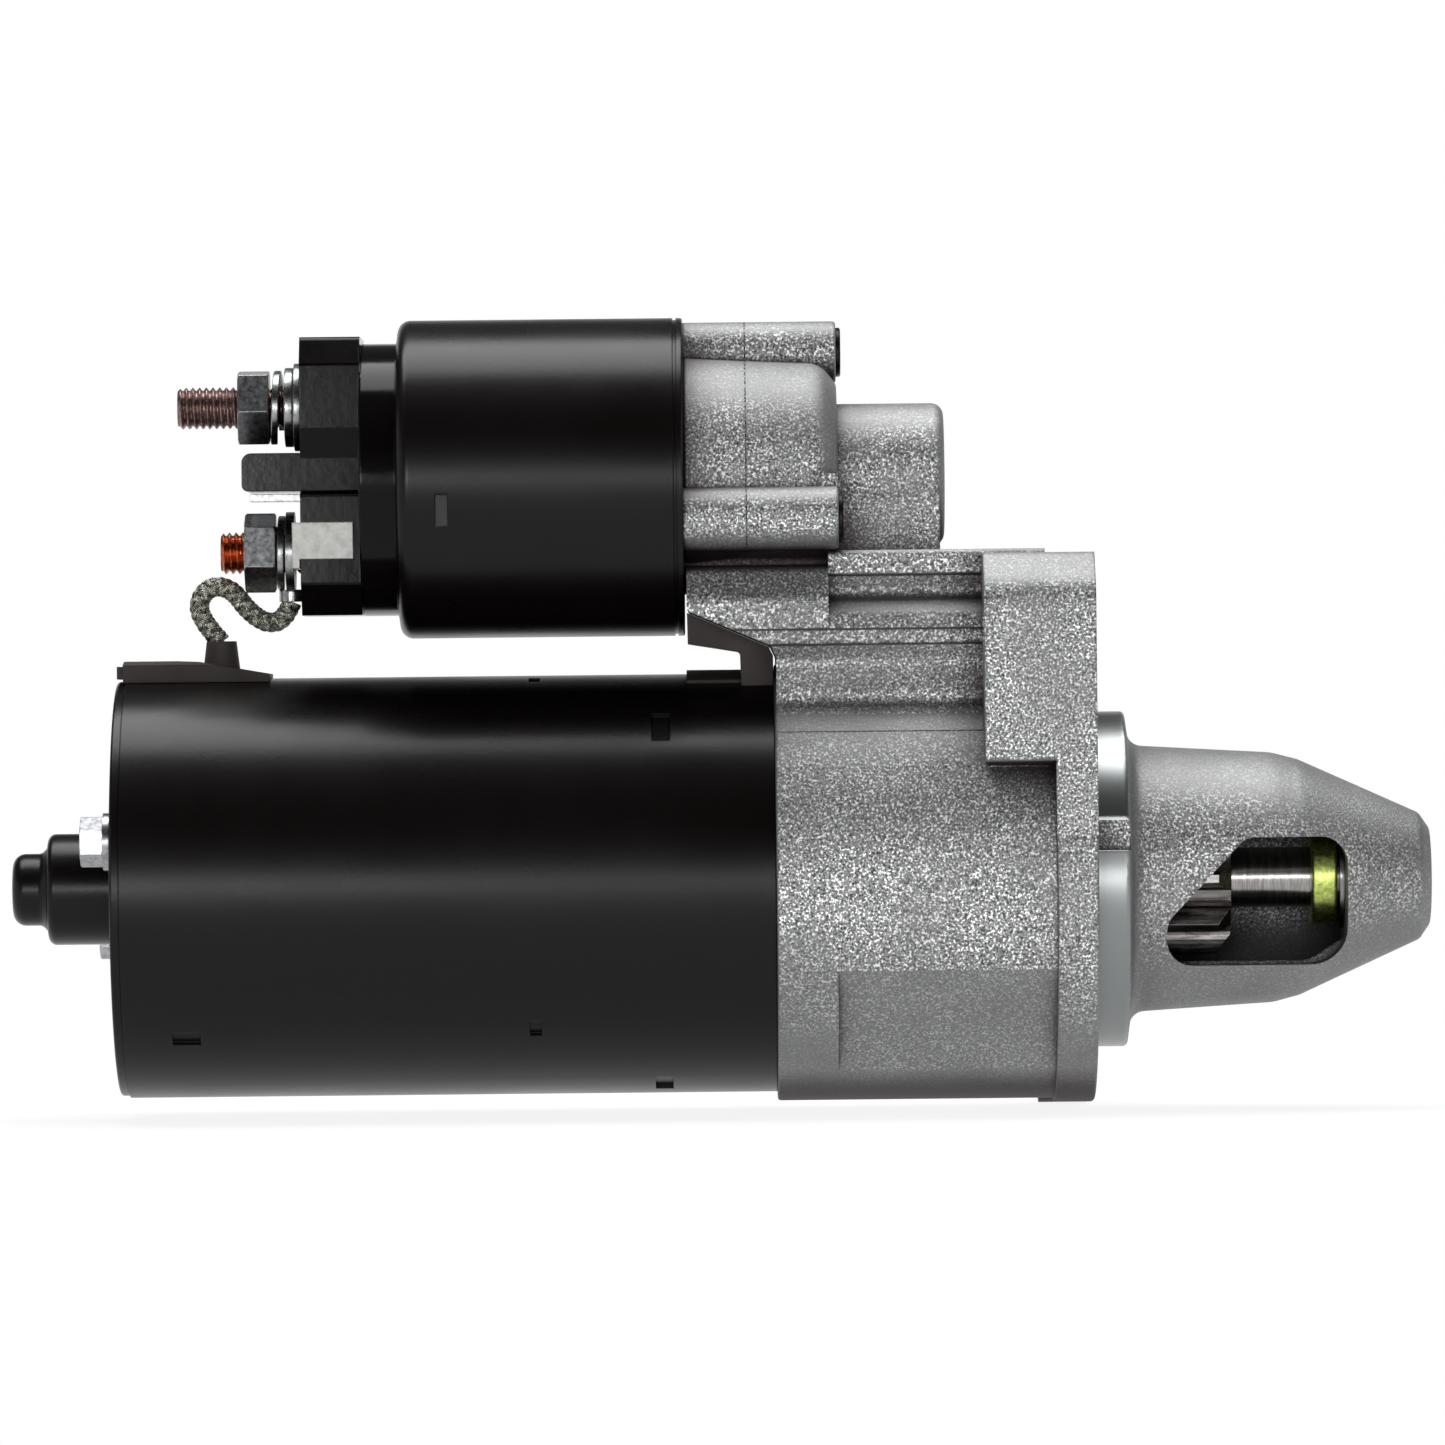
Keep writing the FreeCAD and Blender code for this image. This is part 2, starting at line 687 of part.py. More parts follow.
def make_ring_gear():
    """The ring gear, moulded in one with the wall that holds the middle bush."""
    cavity_front = ring_front - ring_wall
    spaces = gear(ring_teeth, module, module * (ring_teeth / 2 + 1.2),
                  module * (ring_teeth / 2 - 0.8), gear_back - 3.4, gear_front + 0.4, -backlash,
                  phase=math.pi / ring_teeth)
    shell = rod(ring_outer, gear_back - 3.4, ring_front)
    holes = [spaces, rod(module * ring_teeth / 2 + 2.0, gear_front + 0.4, cavity_front),
             rod(output_radius + bush_wall + run, cavity_front - 1, ring_front + 1),
             pair(rod(bolt_radius + bolt_room, gear_back - 5, ring_front + 1,
                      *around(bolt_angle, bolt_circle)))]
    return shell.cut(Part.makeCompound(holes))


def planet_centre(index):
    return around(360 * index / planet_count, orbit)


def make_planet(index):
    """A planet wheel with its bore. A gap faces the sun, so that a tooth of the sun fills it."""
    y, z = planet_centre(index)
    towards_sun = math.radians(360 * index / planet_count) + math.pi
    wheel = gear(planet_teeth, module, module * (planet_teeth / 2 + 0.8),
                 module * (planet_teeth / 2 - 1.2), gear_back + 0.5, gear_front - 0.5, backlash,
                 phase=towards_sun + math.pi / planet_teeth)
    wheel = wheel.cut(rod(pin_radius + run, gear_back - 1, gear_front + 1))
    return wheel.translated(V(0, y, z))


def make_planet_pins():
    """The pins that are pressed into the carrier."""
    end = gear_front + 0.8 + carrier_depth
    return Part.makeCompound([rod(pin_radius, gear_back + 0.3, end - 0.4, *planet_centre(k))
                              for k in range(planet_count)])


def make_output_shaft():
    """The carrier disc and the output shaft in one forging, splined behind the pinion."""
    back = gear_front + 0.8
    carrier = turned([(back, 0), (back, carrier_radius, 0.6), (back + carrier_depth, carrier_radius, 0.6),
                      (back + carrier_depth, 0)])
    spline_back = ring_front + 1.2
    body = carrier.multiFuse([rod(output_radius, back + 1, shaft_front),
                              rod(spline_radius, spline_back, spline_front)])
    cuts = [rod(pilot_radius + run, back - 1, pilot_front + 0.6)]
    cuts += [rod(pin_radius + fit, back - 1, back + carrier_depth - 0.3, *planet_centre(k))
             for k in range(planet_count)]
    for k in range(spline_count):
        groove = block(spline_back - 1, spline_front + 1, -spline_radius - 1, -spline_radius + 0.9,
                       -1.0, 1.0)
        cuts.append(turned_about(groove, 360 * k / spline_count))
    return body.cut(Part.makeCompound(cuts))


def make_carrier_washer():
    face = ring_front - ring_wall
    return tube(16.0, output_radius + 0.5, face - 0.6, face)


def make_middle_bush():
    return tube(output_radius + bush_wall, output_radius + run, ring_front - ring_wall,
                ring_front + 0.9)


# ---------------------------------------------------------------- drive


def make_stop_collar():
    """The collar that stops the pinion's travel."""
    return turned([(collar_back, output_radius + fit), (collar_back, collar_radius, 0.6),
                   (collar_front, collar_radius, 0.6), (collar_front, output_radius + fit)])


def make_nose_washer():
    return tube(9.6, output_radius + 0.4, 45.8, 46.75)


def make_nose_bush():
    return tube(output_radius + bush_wall, output_radius + run, nose_bush_back, 60.0)


def make_pinion():
    """The pinion with its long hub, which is the clutch's inner race."""
    teeth = gear(pinion_teeth, pinion_module, pinion_tip, pinion_root, pinion_back, pinion_front,
                 backlash, pinion_shift)
    lead_in = turned([(pinion_back, 0), (pinion_back, pinion_tip - 1.6),
                      (pinion_back + 1.2, pinion_tip + 0.1), (pinion_front - 2.6, pinion_tip + 0.1),
                      (pinion_front, pinion_tip - 3.0, 1.2), (pinion_front, 0)])
    hub = turned([(clutch_back + 4, 0), (clutch_back + 4, track_radius), (clutch_front + 3, track_radius),
                  (clutch_front + 3, 11.0), (pinion_back + 0.1, 11.0), (pinion_back + 0.1, 0)])
    body = teeth.common(lead_in).fuse(hub)
    cuts = [rod(output_radius + run, -30, 40), rod(spline_radius + free, -30, spline_front + 0.7)]
    return body.cut(Part.makeCompound(cuts))


def make_clutch_shell():
    """The clutch's outer race, with a pocket for each roller, and its rear wall."""
    inner = track_radius + 2 * roller_radius + free + 0.3
    shell = turned([(clutch_back, 0), (clutch_back, clutch_radius, 1.0),
                    (clutch_front - 2.0 - fit, clutch_radius), (clutch_front - 2.0 - fit, 0)])
    cuts = [rod(inner, clutch_back + 3.4, clutch_front), rod(sleeve_radius + fit, -40, 0)]
    return shell.cut(Part.makeCompound(cuts))


def make_clutch_cover():
    """The washer that is rolled onto the shell's front, round the pinion's hub."""
    return turned([(clutch_front - 2.0, track_radius + free), (clutch_front - 2.0, clutch_radius),
                   (clutch_front, clutch_radius, 0.8), (clutch_front, track_radius + free)])


def make_clutch_rollers():
    middle = track_radius + 0.3 + roller_radius
    back = clutch_back + 3.4 + 0.4
    front = clutch_front - 2.0 - 0.4
    return Part.makeCompound([rod(roller_radius, back, front, *around(360 * k / roller_count, middle))
                              for k in range(roller_count)])


def make_drive_sleeve():
    """The sleeve that slides on the shaft's splines and carries the clutch."""
    sleeve = tube(sleeve_radius, spline_radius + free, sleeve_back, clutch_back + 3.4)
    return sleeve.cut(tube(sleeve_radius + 1, sleeve_radius - 0.8, sleeve_back + 0.7,
                           sleeve_back + 1.8))


def make_sleeve_clip():
    clip = tube(sleeve_radius + 1.6, sleeve_radius - 0.8 + fit, sleeve_back + 0.75, sleeve_back + 1.75)
    return clip.cut(block(sleeve_back, sleeve_back + 3, -2, 2, 0, 20))


def make_drive_ring():
    """The grooved ring that the fork pushes. The sleeve turns inside it."""
    back = ring_middle - drive_ring_half
    front = ring_middle + drive_ring_half
    return turned([(back, sleeve_radius + free), (back, drive_ring_radius, 0.4),
                   (ring_middle - groove_half, drive_ring_radius, 0.4),
                   (ring_middle - groove_half, groove_radius),
                   (ring_middle + groove_half, groove_radius),
                   (ring_middle + groove_half, drive_ring_radius, 0.4),
                   (front, drive_ring_radius, 0.4), (front, sleeve_radius + free)])


# ---------------------------------------------------------------- lever


def make_fork_lever():
    """The moulded lever: two prongs with round pads below, and an arm with a hook above."""
    hub = Part.makeCylinder(6.2, 2 * prong_outer, V(pivot_x, -prong_outer, pivot_z), V(0, 1, 0))
    shoulder = prism([(pivot_x - 3.2, pivot_z - 15, 2), (pivot_x - 4.5, pivot_z + 2, 2),
                      (pivot_x + 4.5, pivot_z + 2, 2), (pivot_x + 3.2, pivot_z - 15, 2)],
                     -prong_outer, prong_outer)
    arm = prism([(pivot_x - 4.4, pivot_z), (-36.4, solenoid_z - 17.3, 3), (hook_x - 1.9, solenoid_z),
                 (hook_x + 1.9, solenoid_z), (-32.2, solenoid_z - 15.8, 3), (pivot_x + 4.4, pivot_z)],
                -arm_half, arm_half)
    hook = Part.makeCylinder(hook_radius, 2 * hook_half, V(hook_x, -hook_half, solenoid_z), V(0, 1, 0))
    prongs = []
    pads = []
    prong_width = prong_outer - prong_inner
    pad_length = prong_outer - groove_radius - free
    for side in (-1, 1):
        low = prong_inner if side > 0 else -prong_outer
        prongs.append(prism([(pivot_x - 2.4, 0.0), (pivot_x - 3.2, pivot_z - 12),
                             (pivot_x + 3.2, pivot_z - 12), (pivot_x + 2.4, 0.0)],
                            low, low + prong_width))
        start = groove_radius + free if side > 0 else -prong_outer
        pads.append(Part.makeCylinder(pad_radius, pad_length, V(pivot_x, start, 0), V(0, 1, 0)))
    body = hub.multiFuse([shoulder, arm, hook] + prongs)
    bore = Part.makeCylinder(pivot_radius + run, 80, V(pivot_x, -40, pivot_z), V(0, 1, 0))
    below = block(-60, 0, -prong_inner, prong_inner, -30, 0)
    saddle = rod(prong_inner, -60, 0).fuse(below)
    return body.cut(bore).cut(saddle).multiFuse(pads)


def make_lever_pin():
    """The pin on which the lever turns, pushed in from the far side."""
    return Part.makeCylinder(pivot_radius, neck_half - 0.6 + 22.8, V(pivot_x, -22.8, pivot_z), V(0, 1, 0))


# ---------------------------------------------------------------- solenoid


def make_solenoid_can():
    """The steel can, closed at the front and rolled in at the rear round the cap."""
    groove_back = can_front - 1.8
    groove_front = can_front - 1.2
    groove_bottom = can_radius - 0.35
    body = turned([(can_back, 0), (can_back, can_radius, 2.4), (groove_back, can_radius),
                   (groove_back, groove_bottom), (groove_front, groove_bottom),
                   (groove_front, can_radius), (can_front, can_radius, 0.4), (can_front, 0)],
                  solenoid_z)
    cuts = [rod(can_radius - can_wall, can_back + 2.6, can_front - can_end, 0, solenoid_z),
            rod(collar_outer + fit, can_back - 1, can_back + 4, 0, solenoid_z),
            rod(plunger_radius + free, -90, can_front + 1, 0, solenoid_z),
            block(-121.1, -118.8, -can_radius - 1, -can_radius + 1.6, solenoid_z - 9.4,
                  solenoid_z - 3.4)]
    for angle in screw_angles:
        y, z = around(angle, screw_circle)
        cuts.append(rod(screw_radius + fit, -85, can_front + 1, y, solenoid_z + z))
    return body.cut(Part.makeCompound(cuts))


def make_solenoid_screws():
    """Three screws from the bracket's front into the can."""
    solids = []
    for angle in screw_angles:
        y, z = around(angle, screw_circle)
        head = turned([(bracket_front, 0), (bracket_front, 4.6), (bracket_front + 0.9, 4.6, 0.4),
                       (bracket_front + 0.9, 0)])
        socket = hexagon(3.0, bracket_front + 0.3, bracket_front + 3, 0, 0)
        shank = rod(screw_radius, can_front - can_end + 0.3, bracket_front + 0.2)
        solids.append(head.fuse(shank).cut(socket).translated(V(0, y, solenoid_z + z)))
    return Part.makeCompound(solids)


def make_coil_bobbin():
    """The former that the coil is wound on, which also guides the plunger."""
    back = core_back + core_depth + 0.1
    front = can_front - can_end - fit
    inner = plunger_radius + free
    outer = can_radius - can_wall - fit
    return turned([(back, inner), (back, outer), (back + bobbin_flange, outer),
                   (back + bobbin_flange, inner + bobbin_wall),
                   (front - bobbin_flange, inner + bobbin_wall), (front - bobbin_flange, outer),
                   (front, outer), (front, inner)], solenoid_z)


def make_solenoid_coil():
    back = core_back + core_depth + 0.1 + bobbin_flange + fit
    front = can_front - can_end - bobbin_flange - 2 * fit
    inner = plunger_radius + free + bobbin_wall + fit
    return tube(can_radius - can_wall - 1.0, inner, back, front, 0, solenoid_z)


def make_stop_core():
    """The fixed core that the plunger is drawn to, with a hole for the contact rod."""
    outer = can_radius - can_wall - fit
    return turned([(core_back, rod_radius + free), (core_back, outer), (core_back + core_depth, outer),
                   (core_back + core_depth, plunger_radius), (core_front, plunger_radius - 0.2),
                   (core_front, rod_radius + free)], solenoid_z)


def make_plunger():
    """The plunger, its stem, and the head with a slot for the lever's hook."""
    slot_back = hook_x - hook_radius - hook_play
    slot_front = hook_x + hook_radius + hook_play
    head_front = slot_front + 2.4
    shape = turned([(plunger_back, 0), (plunger_back, plunger_radius, 0.5),
                    (can_front - 1, plunger_radius, 0.5), (can_front - 1, stem_radius),
                    (head_back, stem_radius), (head_back, plunger_radius, 0.5),
                    (head_front, plunger_radius, 0.8), (head_front, 0)], solenoid_z)
    low = solenoid_z - 2 * plunger_radius
    top = solenoid_z + hook_radius + hook_play
    cross = block(slot_back, slot_front, -hook_half - free, hook_half + free, low, top)
    slot = block(slot_back, head_front + 1, -arm_half - free, arm_half + free, low, top)
    return shape.cut(cross).cut(slot)


def make_return_spring():
    """The spring between the can and the plunger's head."""
    return coil_spring(stem_radius + 1.5, 1.2, can_front + 0.5, head_back - 0.1, 8, solenoid_z)


def plate_at_rest():
    """The contact plate's rear face at rest."""
    return chamber_back + 4.2 + contact_travel


def make_contact_rod():
    """The rod that the plunger pushes, with the insulating collar behind the plate."""
    rear = plate_at_rest()
    front = core_front + contact_travel
    stem = rod(rod_radius, rear - 1.6, front, 0, solenoid_z)
    collar = rod(5.0, rear + 2.0 + fit, rear + 4.4, 0, solenoid_z)
    return stem.fuse(collar)


def make_contact_plate():
    """The copper bar that joins the two studs' heads."""
    rear = plate_at_rest()
    bar_shape = bar([(-6.5, -18.5, 2), (-6.5, 18.5, 2), (6.5, 18.5, 2), (6.5, -18.5, 2)], rear, rear + 2.0)
    bar_shape = bar_shape.translated(V(0, 0, solenoid_z))
    return bar_shape.cut(rod(rod_radius + fit, -150, -100, 0, solenoid_z))


def make_contact_spring():
    return coil_spring(3.6, 0.8, chamber_back + 0.1, plate_at_rest() - 0.1, 3, solenoid_z)


# ---------------------------------------------------------------- terminal cap


def make_terminal_cap():
    """The moulded cap: a collar in the can, a squared block, and a rib between the studs."""
    lip = can_back - 0.2
    collar = turned([(cap_shoulder, 0), (cap_shoulder, collar_outer - 0.6, 0.5),
                     (lip, collar_outer - 0.6), (lip, collar_outer), (core_back - fit, collar_outer),
                     (core_back - fit, 0)], solenoid_z)
    side = cap_half
    low = solenoid_z - 2.2
    high = solenoid_z + 4.9
    waist = side - 2.6
    lower = [(-waist, low), (-side, low - 0.8, 0.4), (-side, cap_bottom + 5.8, 0.8),
             (-side + 5, cap_bottom, 1.5)]
    lower += [(-y, z, *corner) for y, z, *corner in reversed(lower)]
    upper = [(waist, high - 1.0), (side - 1.2, high + 1.9, 0.5), (side, high + 4.4, 0.5),
             (side, cap_top - 5.2, 0.8), (side - 4, cap_top, 1.5)]
    upper += [(-y, z, *corner) for y, z, *corner in reversed(upper)]
    blocky = bar(lower + upper, cap_face, cap_shoulder + 0.1)
    rib = prism([(cap_face + 1, low), (cap_face + 1, high), (-157.3, high, 1.8), (-157.3, low, 1.2)],
                -waist, waist)
    body = collar.multiFuse([blocky, rib])
    chamber = rod(chamber_radius, chamber_back, -100, 0, solenoid_z)
    half = waist - cap_wall
    narrow = block(chamber_back - 1, -90, -half, half, can_low, solenoid_z + can_radius)
    cuts = [rod(chamber_radius, cap_shoulder + cap_wall, -100, 0, solenoid_z), chamber.common(narrow)]
    for z in (battery_z, motor_z):
        cuts.append(rod(stud_radius + fit, cap_face - 20, chamber_back + 1, 0, z))
    cuts.append(block(-152, cap_face + 3, -3.3, 3.3, low - 1.75, low - 0.25))
    return body.cut(Part.makeCompound(cuts))


def make_stud(z, tip, nut_front):
    """A contact bolt: its head in the chamber, its free end threaded past the nut."""
    head = hexagon(11.0, chamber_back + fit, chamber_back + 4.0, 0, z)
    nut_back = nut_front - nut_height
    inside = chamber_back + 1
    end = turned([(tip, 0), (tip, thread_radius, 0.2), (tip + 0.6, stud_radius),
                  (nut_back - 0.6, stud_radius), (nut_back - 0.2, thread_radius),
                  (nut_front, thread_radius), (nut_front + 0.2, stud_radius),
                  (inside, stud_radius), (inside, 0)], z)
    return head.fuse(end)


def make_nut(z, nut_front, corner_angle):
    nut = hexagon(nut_across, nut_front - nut_height, nut_front, 0, z, corner_angle)
    return nut.cut(rod(thread_radius + fit, nut_front - 20, nut_front + 5, 0, z))


def split_washer(x0, x1, z, outer, turn):
    ring = tube(outer, stud_radius + 0.2, x0, x1, 0, z)
    gap = block(x0 - 1, x1 + 1, -outer - 1, -stud_radius + 0.5, -0.6, 0.6)
    return ring.cut(turned_about(gap, turn).translated(V(0, 0, z)))


def make_terminal_washers():
    """Two flat washers on the battery stud, and a split washer under each nut."""
    flat = tube(8.2, stud_radius + 0.2, cap_face - 1.5, cap_face, 0, battery_z)
    second = tube(7.4, stud_radius + 0.2, cap_face - 3.2, cap_face - 1.6, 0, battery_z)
    splits = [split_washer(battery_nut_front, cap_face - 3.3, battery_z, 6.9, 40),
              split_washer(motor_nut_front, cap_face - 3.3, motor_z, 6.9, 150)]
    return Part.makeCompound([flat, second] + splits)


def make_motor_strap():
    """The bright strap from the motor stud, bent round the cap's near side."""
    face = cap_face - 1.5
    flat = block(face, cap_face - 0.1, -cap_half - 1.5, 7.0, motor_z - 3.2,
                 motor_z + stud_radius + 0.3)
    side = block(face, -136.6, -cap_half - 1.5, -cap_half - 0.1, motor_z - 1.5, motor_z + 5.3)
    hole = rod(stud_radius + 0.2, -160, -140, 0, motor_z)
    return flat.fuse(side).cut(hole)


def make_motor_lug():
    """The lead's ring terminal, with the barrel that is crimped on the braid."""
    face = cap_face - 1.6
    ring_radius = stud_radius + 3.7
    ring = rod(ring_radius, face - 1.6, face, 0, motor_z)
    x, z = lead_route[-1]
    height = motor_z - ring_radius + 0.65 - z
    barrel = Part.makeCylinder(lead_radius + 0.35, height, V(x, 0, z + fit), V(0, 0, 1))
    body = ring.fuse(barrel.common(block(-160, cap_face - 0.1, -9, 9, 0, 99)))
    return body.cut(rod(stud_radius + 0.2, -160, -140, 0, motor_z))


def make_trigger_terminal():
    """The blade for the trigger wire, under the rib."""
    high = solenoid_z - 2.2 - 0.3
    blade = prism([(-156.3, high - 1.4, 0.3), (-156.3, high, 0.3), (cap_face + 2.8, high),
                   (cap_face + 2.8, high - 1.4)], -3.15, 3.15)
    return blade


# ---------------------------------------------------------------- lead, grommet and seal


def lead_path():
    """Straight runs joined by tangent arcs, each as large as its two runs allow."""
    points = [V(x, 0, z) for x, z in lead_route]
    edges = []
    start = points[0]
    for last, here, following in zip(points, points[1:], points[2:]):
        back = last - here
        onward = following - here
        run_length = min(back.Length, onward.Length)
        half_turn = (math.pi - back.getAngle(onward)) / 2
        radius = 0.45 * run_length / math.tan(half_turn)
        reach = 0.45 * run_length
        back.normalize()
        onward.normalize()
        enter = here + back * reach
        leave = here + onward * reach
        inward = (back + onward).normalize()
        middle = here + inward * (radius / math.cos(half_turn) - radius)
        edges.append(Part.LineSegment(start, enter).toShape())
        edges.append(Part.Arc(enter, middle, leave).toShape())
        print(f"lead: radius {radius:.1f}")
        start = leave
    edges.append(Part.LineSegment(start, points[-1]).toShape())
    length = sum(edge.Length for edge in edges)
    print(f"lead: length {length:.1f}")
    return Part.Wire(edges), length


def make_motor_lead():
    """The braided lead between the brush gear and the motor stud."""
    path, length = lead_path()
    first = path.Edges[0].tangentAt(path.Edges[0].FirstParameter)
    ring = Part.Wire(Part.Circle(V(lead_route[0][0], 0, lead_route[0][1]), first, lead_radius).toShape())
    lead = path.makePipeShell([ring], True, False)
    print(f"lead: volume {lead.Volume:.1f}, section times length {math.pi * lead_radius ** 2 * length:.1f}")
    return lead


def make_lead_grommet():
    """The rubber plate over the lead's slot, with the boss that the lead leaves."""
    plate = arc_block(yoke_radius + 3.4, yoke_radius + fit, -180.0, -152.7, 90, 22)
    high = yoke_radius + 11.0
    slope = prism([(-181, yoke_radius + 3.9), (-166, yoke_radius + 3.2), (-152.0, yoke_radius + 0.7),
                   (-152.0, high), (-181, high)], -20, 20)
    lip = block(-181.2, -179.9, -6, 6, yoke_radius + fit, yoke_radius + 2.4)
    x = lead_route[0][0]
    boss = Part.makeCone(3.6, 2.8, 6.6, V(x, 0, yoke_radius + 0.4), V(0, 0, 1))
    return plate.cut(slope).multiFuse([lip, boss])


def make_lever_seal():
    """The rubber wedge that closes the gap between can, yoke and casting."""
    low = yoke_radius - 3.0
    wedge = prism([(-75.0, can_low + 4.15), (-59.9, yoke_radius + 4.8), (-58.9, yoke_radius + 2.8),
                   (-58.9, low), (-65.0, low), (-65.2, yoke_radius + 4.0, 0.8),
                   (-74.9, yoke_radius + 5.6)], -13.5, 13.5)
    foot = arc_block(yoke_radius + 0.75, yoke_radius, -75.2, -62, 90, 36)
    body = wedge.fuse(foot).common(block(-75.2, yoke_front - 0.1, -13.5, 13.5, low, low + 30))
    return body.cut(rod(yoke_radius + fit, -90, -50))


# ---------------------------------------------------------------- all nodes


def make_all():
    os.makedirs("parts", exist_ok=True)
    write("drive_end_housing", make_housing())
    write("yoke", make_yoke())
    write("rear_cover", make_rear_cover())
    write("end_cap", make_end_cap())
    write("through_bolts", make_through_bolts())
    write("magnets", make_magnets())
    write("shield_plate", make_shield_plate())
    write("rear_bush", make_rear_bush())
    write("armature_shaft", make_armature_shaft())
    write("shaft_clip", make_shaft_clip())
    write("armature_core", make_armature_core())
    write("armature_winding", make_armature_winding())
    write("commutator", make_commutator())
    for index, angle in enumerate(brush_angles()):
        write(f"brush_{index + 1}", make_brush(angle))
    write("brush_springs", Part.makeCompound([make_brush_spring(a) for a in brush_angles()]))
    write("brush_holders", make_brush_holders())
    write("brush_plate", make_brush_plate())
    write("ring_gear", make_ring_gear())
    for index in range(planet_count):
        write(f"planet_gear_{index + 1}", make_planet(index))
    write("planet_pins", make_planet_pins())
    write("output_shaft", make_output_shaft())
    write("carrier_washer", make_carrier_washer())
    write("output_bushes", Part.makeCompound([make_middle_bush(), make_nose_bush()]))
    write("stop_collar", make_stop_collar())
    write("nose_washer", make_nose_washer())
    write("pinion", make_pinion())
    write("clutch_shell", make_clutch_shell())
    write("clutch_cover", make_clutch_cover())
    write("clutch_rollers", make_clutch_rollers())
    write("drive_sleeve", make_drive_sleeve())
    write("sleeve_clip", make_sleeve_clip())
    write("drive_ring", make_drive_ring())
    write("fork_lever", make_fork_lever())
    write("lever_pin", make_lever_pin())
    write("solenoid_can", make_solenoid_can())
    write("solenoid_screws", make_solenoid_screws())
    write("coil_bobbin", make_coil_bobbin())
    write("solenoid_coil", make_solenoid_coil())
    write("stop_core", make_stop_core())
    write("plunger", make_plunger())
    write("return_spring", make_return_spring())
    write("contact_rod", make_contact_rod())
    write("contact_plate", make_contact_plate())
    write("contact_spring", make_contact_spring())
    write("terminal_cap", make_terminal_cap())
    write("battery_stud", make_stud(battery_z, battery_tip, battery_nut_front))
    write("motor_stud", make_stud(motor_z, motor_tip, motor_nut_front))
    write("terminal_nuts", Part.makeCompound([make_nut(battery_z, battery_nut_front, -7.0),
                                              make_nut(motor_z, motor_nut_front, -21.0)]))
    write("terminal_washers", make_terminal_washers())
    write("motor_strap", make_motor_strap())
    write("motor_lug", make_motor_lug())
    write("trigger_terminal", make_trigger_terminal())
    write("motor_lead", make_motor_lead())
    write("lead_grommet", make_lead_grommet())
    write("lever_seal", make_lever_seal())
    print(f"drive travel {drive_travel:.3f}, plunger travel {plunger_travel:.3f}, swing {swing:.4f} rad")


make_all()
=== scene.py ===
# %% [markdown]
# # A starter motor, finished in Blender
# The motor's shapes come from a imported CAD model, in metres. The motor's axis is X with the nose
# at +X, the solenoid lies above it, and the near side faces -Y. This lesson gives each part the
# finish that its maker would give it, and adds what CAD leaves plain: the threads on the studs,
# the spring washers and the plaited lead.

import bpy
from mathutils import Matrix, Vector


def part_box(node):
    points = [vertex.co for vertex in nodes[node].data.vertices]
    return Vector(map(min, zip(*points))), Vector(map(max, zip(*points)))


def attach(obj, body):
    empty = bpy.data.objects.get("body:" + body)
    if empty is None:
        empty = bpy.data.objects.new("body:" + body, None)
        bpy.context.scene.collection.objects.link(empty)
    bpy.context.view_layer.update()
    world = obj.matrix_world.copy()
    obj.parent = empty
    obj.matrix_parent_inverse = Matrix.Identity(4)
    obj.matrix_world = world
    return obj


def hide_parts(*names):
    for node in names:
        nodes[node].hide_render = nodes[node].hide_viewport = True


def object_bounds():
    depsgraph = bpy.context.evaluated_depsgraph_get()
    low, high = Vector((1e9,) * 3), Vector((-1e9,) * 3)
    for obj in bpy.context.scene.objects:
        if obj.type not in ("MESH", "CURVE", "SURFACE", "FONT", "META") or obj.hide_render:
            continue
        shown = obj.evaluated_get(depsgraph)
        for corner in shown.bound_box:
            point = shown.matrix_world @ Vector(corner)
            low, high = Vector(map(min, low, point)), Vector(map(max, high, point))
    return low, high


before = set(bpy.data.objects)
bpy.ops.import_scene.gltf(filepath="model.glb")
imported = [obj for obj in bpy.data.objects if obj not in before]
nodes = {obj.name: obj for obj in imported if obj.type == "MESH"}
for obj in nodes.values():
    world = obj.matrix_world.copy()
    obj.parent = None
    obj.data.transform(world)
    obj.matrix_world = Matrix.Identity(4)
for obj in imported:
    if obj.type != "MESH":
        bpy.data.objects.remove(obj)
cad_box = [list(corner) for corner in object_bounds()]
print("parts from CAD:", len(nodes))

# %% [markdown]
# ## Libraries and units
# Blender measures in metres and the motor's maker in millimetres, so one constant turns the one
# into the other.

# %% Libraries and units
import math

import bpy
from mathutils import Matrix, Vector

MM = 0.001
print("CAD box in mm:", [[round(v / MM, 1) for v in corner] for corner in cad_box])

# %% [markdown]
# ## Camera
# A long lens from two metres away keeps the round parts from bulging, as in a catalogue. The
# camera looks straight along +Y at the middle of the motor. It is rolled by about half a degree,
# as if the motor had been laid down not quite level.

# %% Camera
CAMERA_FAR = 2.0
CAMERA_X = -68.6 * MM
CAMERA_Z = 29.9 * MM
CAMERA_ROLL = math.radians(-0.59)
camera_data = bpy.data.cameras.new("camera")
camera_data.sensor_width = 36
camera_data.lens = 267
camera_data.clip_end = 20
camera = bpy.data.objects.new("camera", camera_data)
bpy.context.scene.collection.objects.link(camera)
camera.matrix_world = (Matrix.Translation(Vector((CAMERA_X, -CAMERA_FAR, CAMERA_Z)))
                       @ Matrix.Rotation(math.pi / 2, 4, "X")
                       @ Matrix.Rotation(CAMERA_ROLL, 4, "Z"))
bpy.context.scene.camera = camera
print("camera lens", camera_data.lens, "mm at", CAMERA_FAR, "m")

# %% [markdown]
# ## Two small helpers
# A finish is a tree of nodes, and so is a shape made by Geometry Nodes. One function adds a node
# to either kind of tree. Another turns a colour picker's hex value into the linear numbers that
# a shader needs.

# %% Helpers for node trees


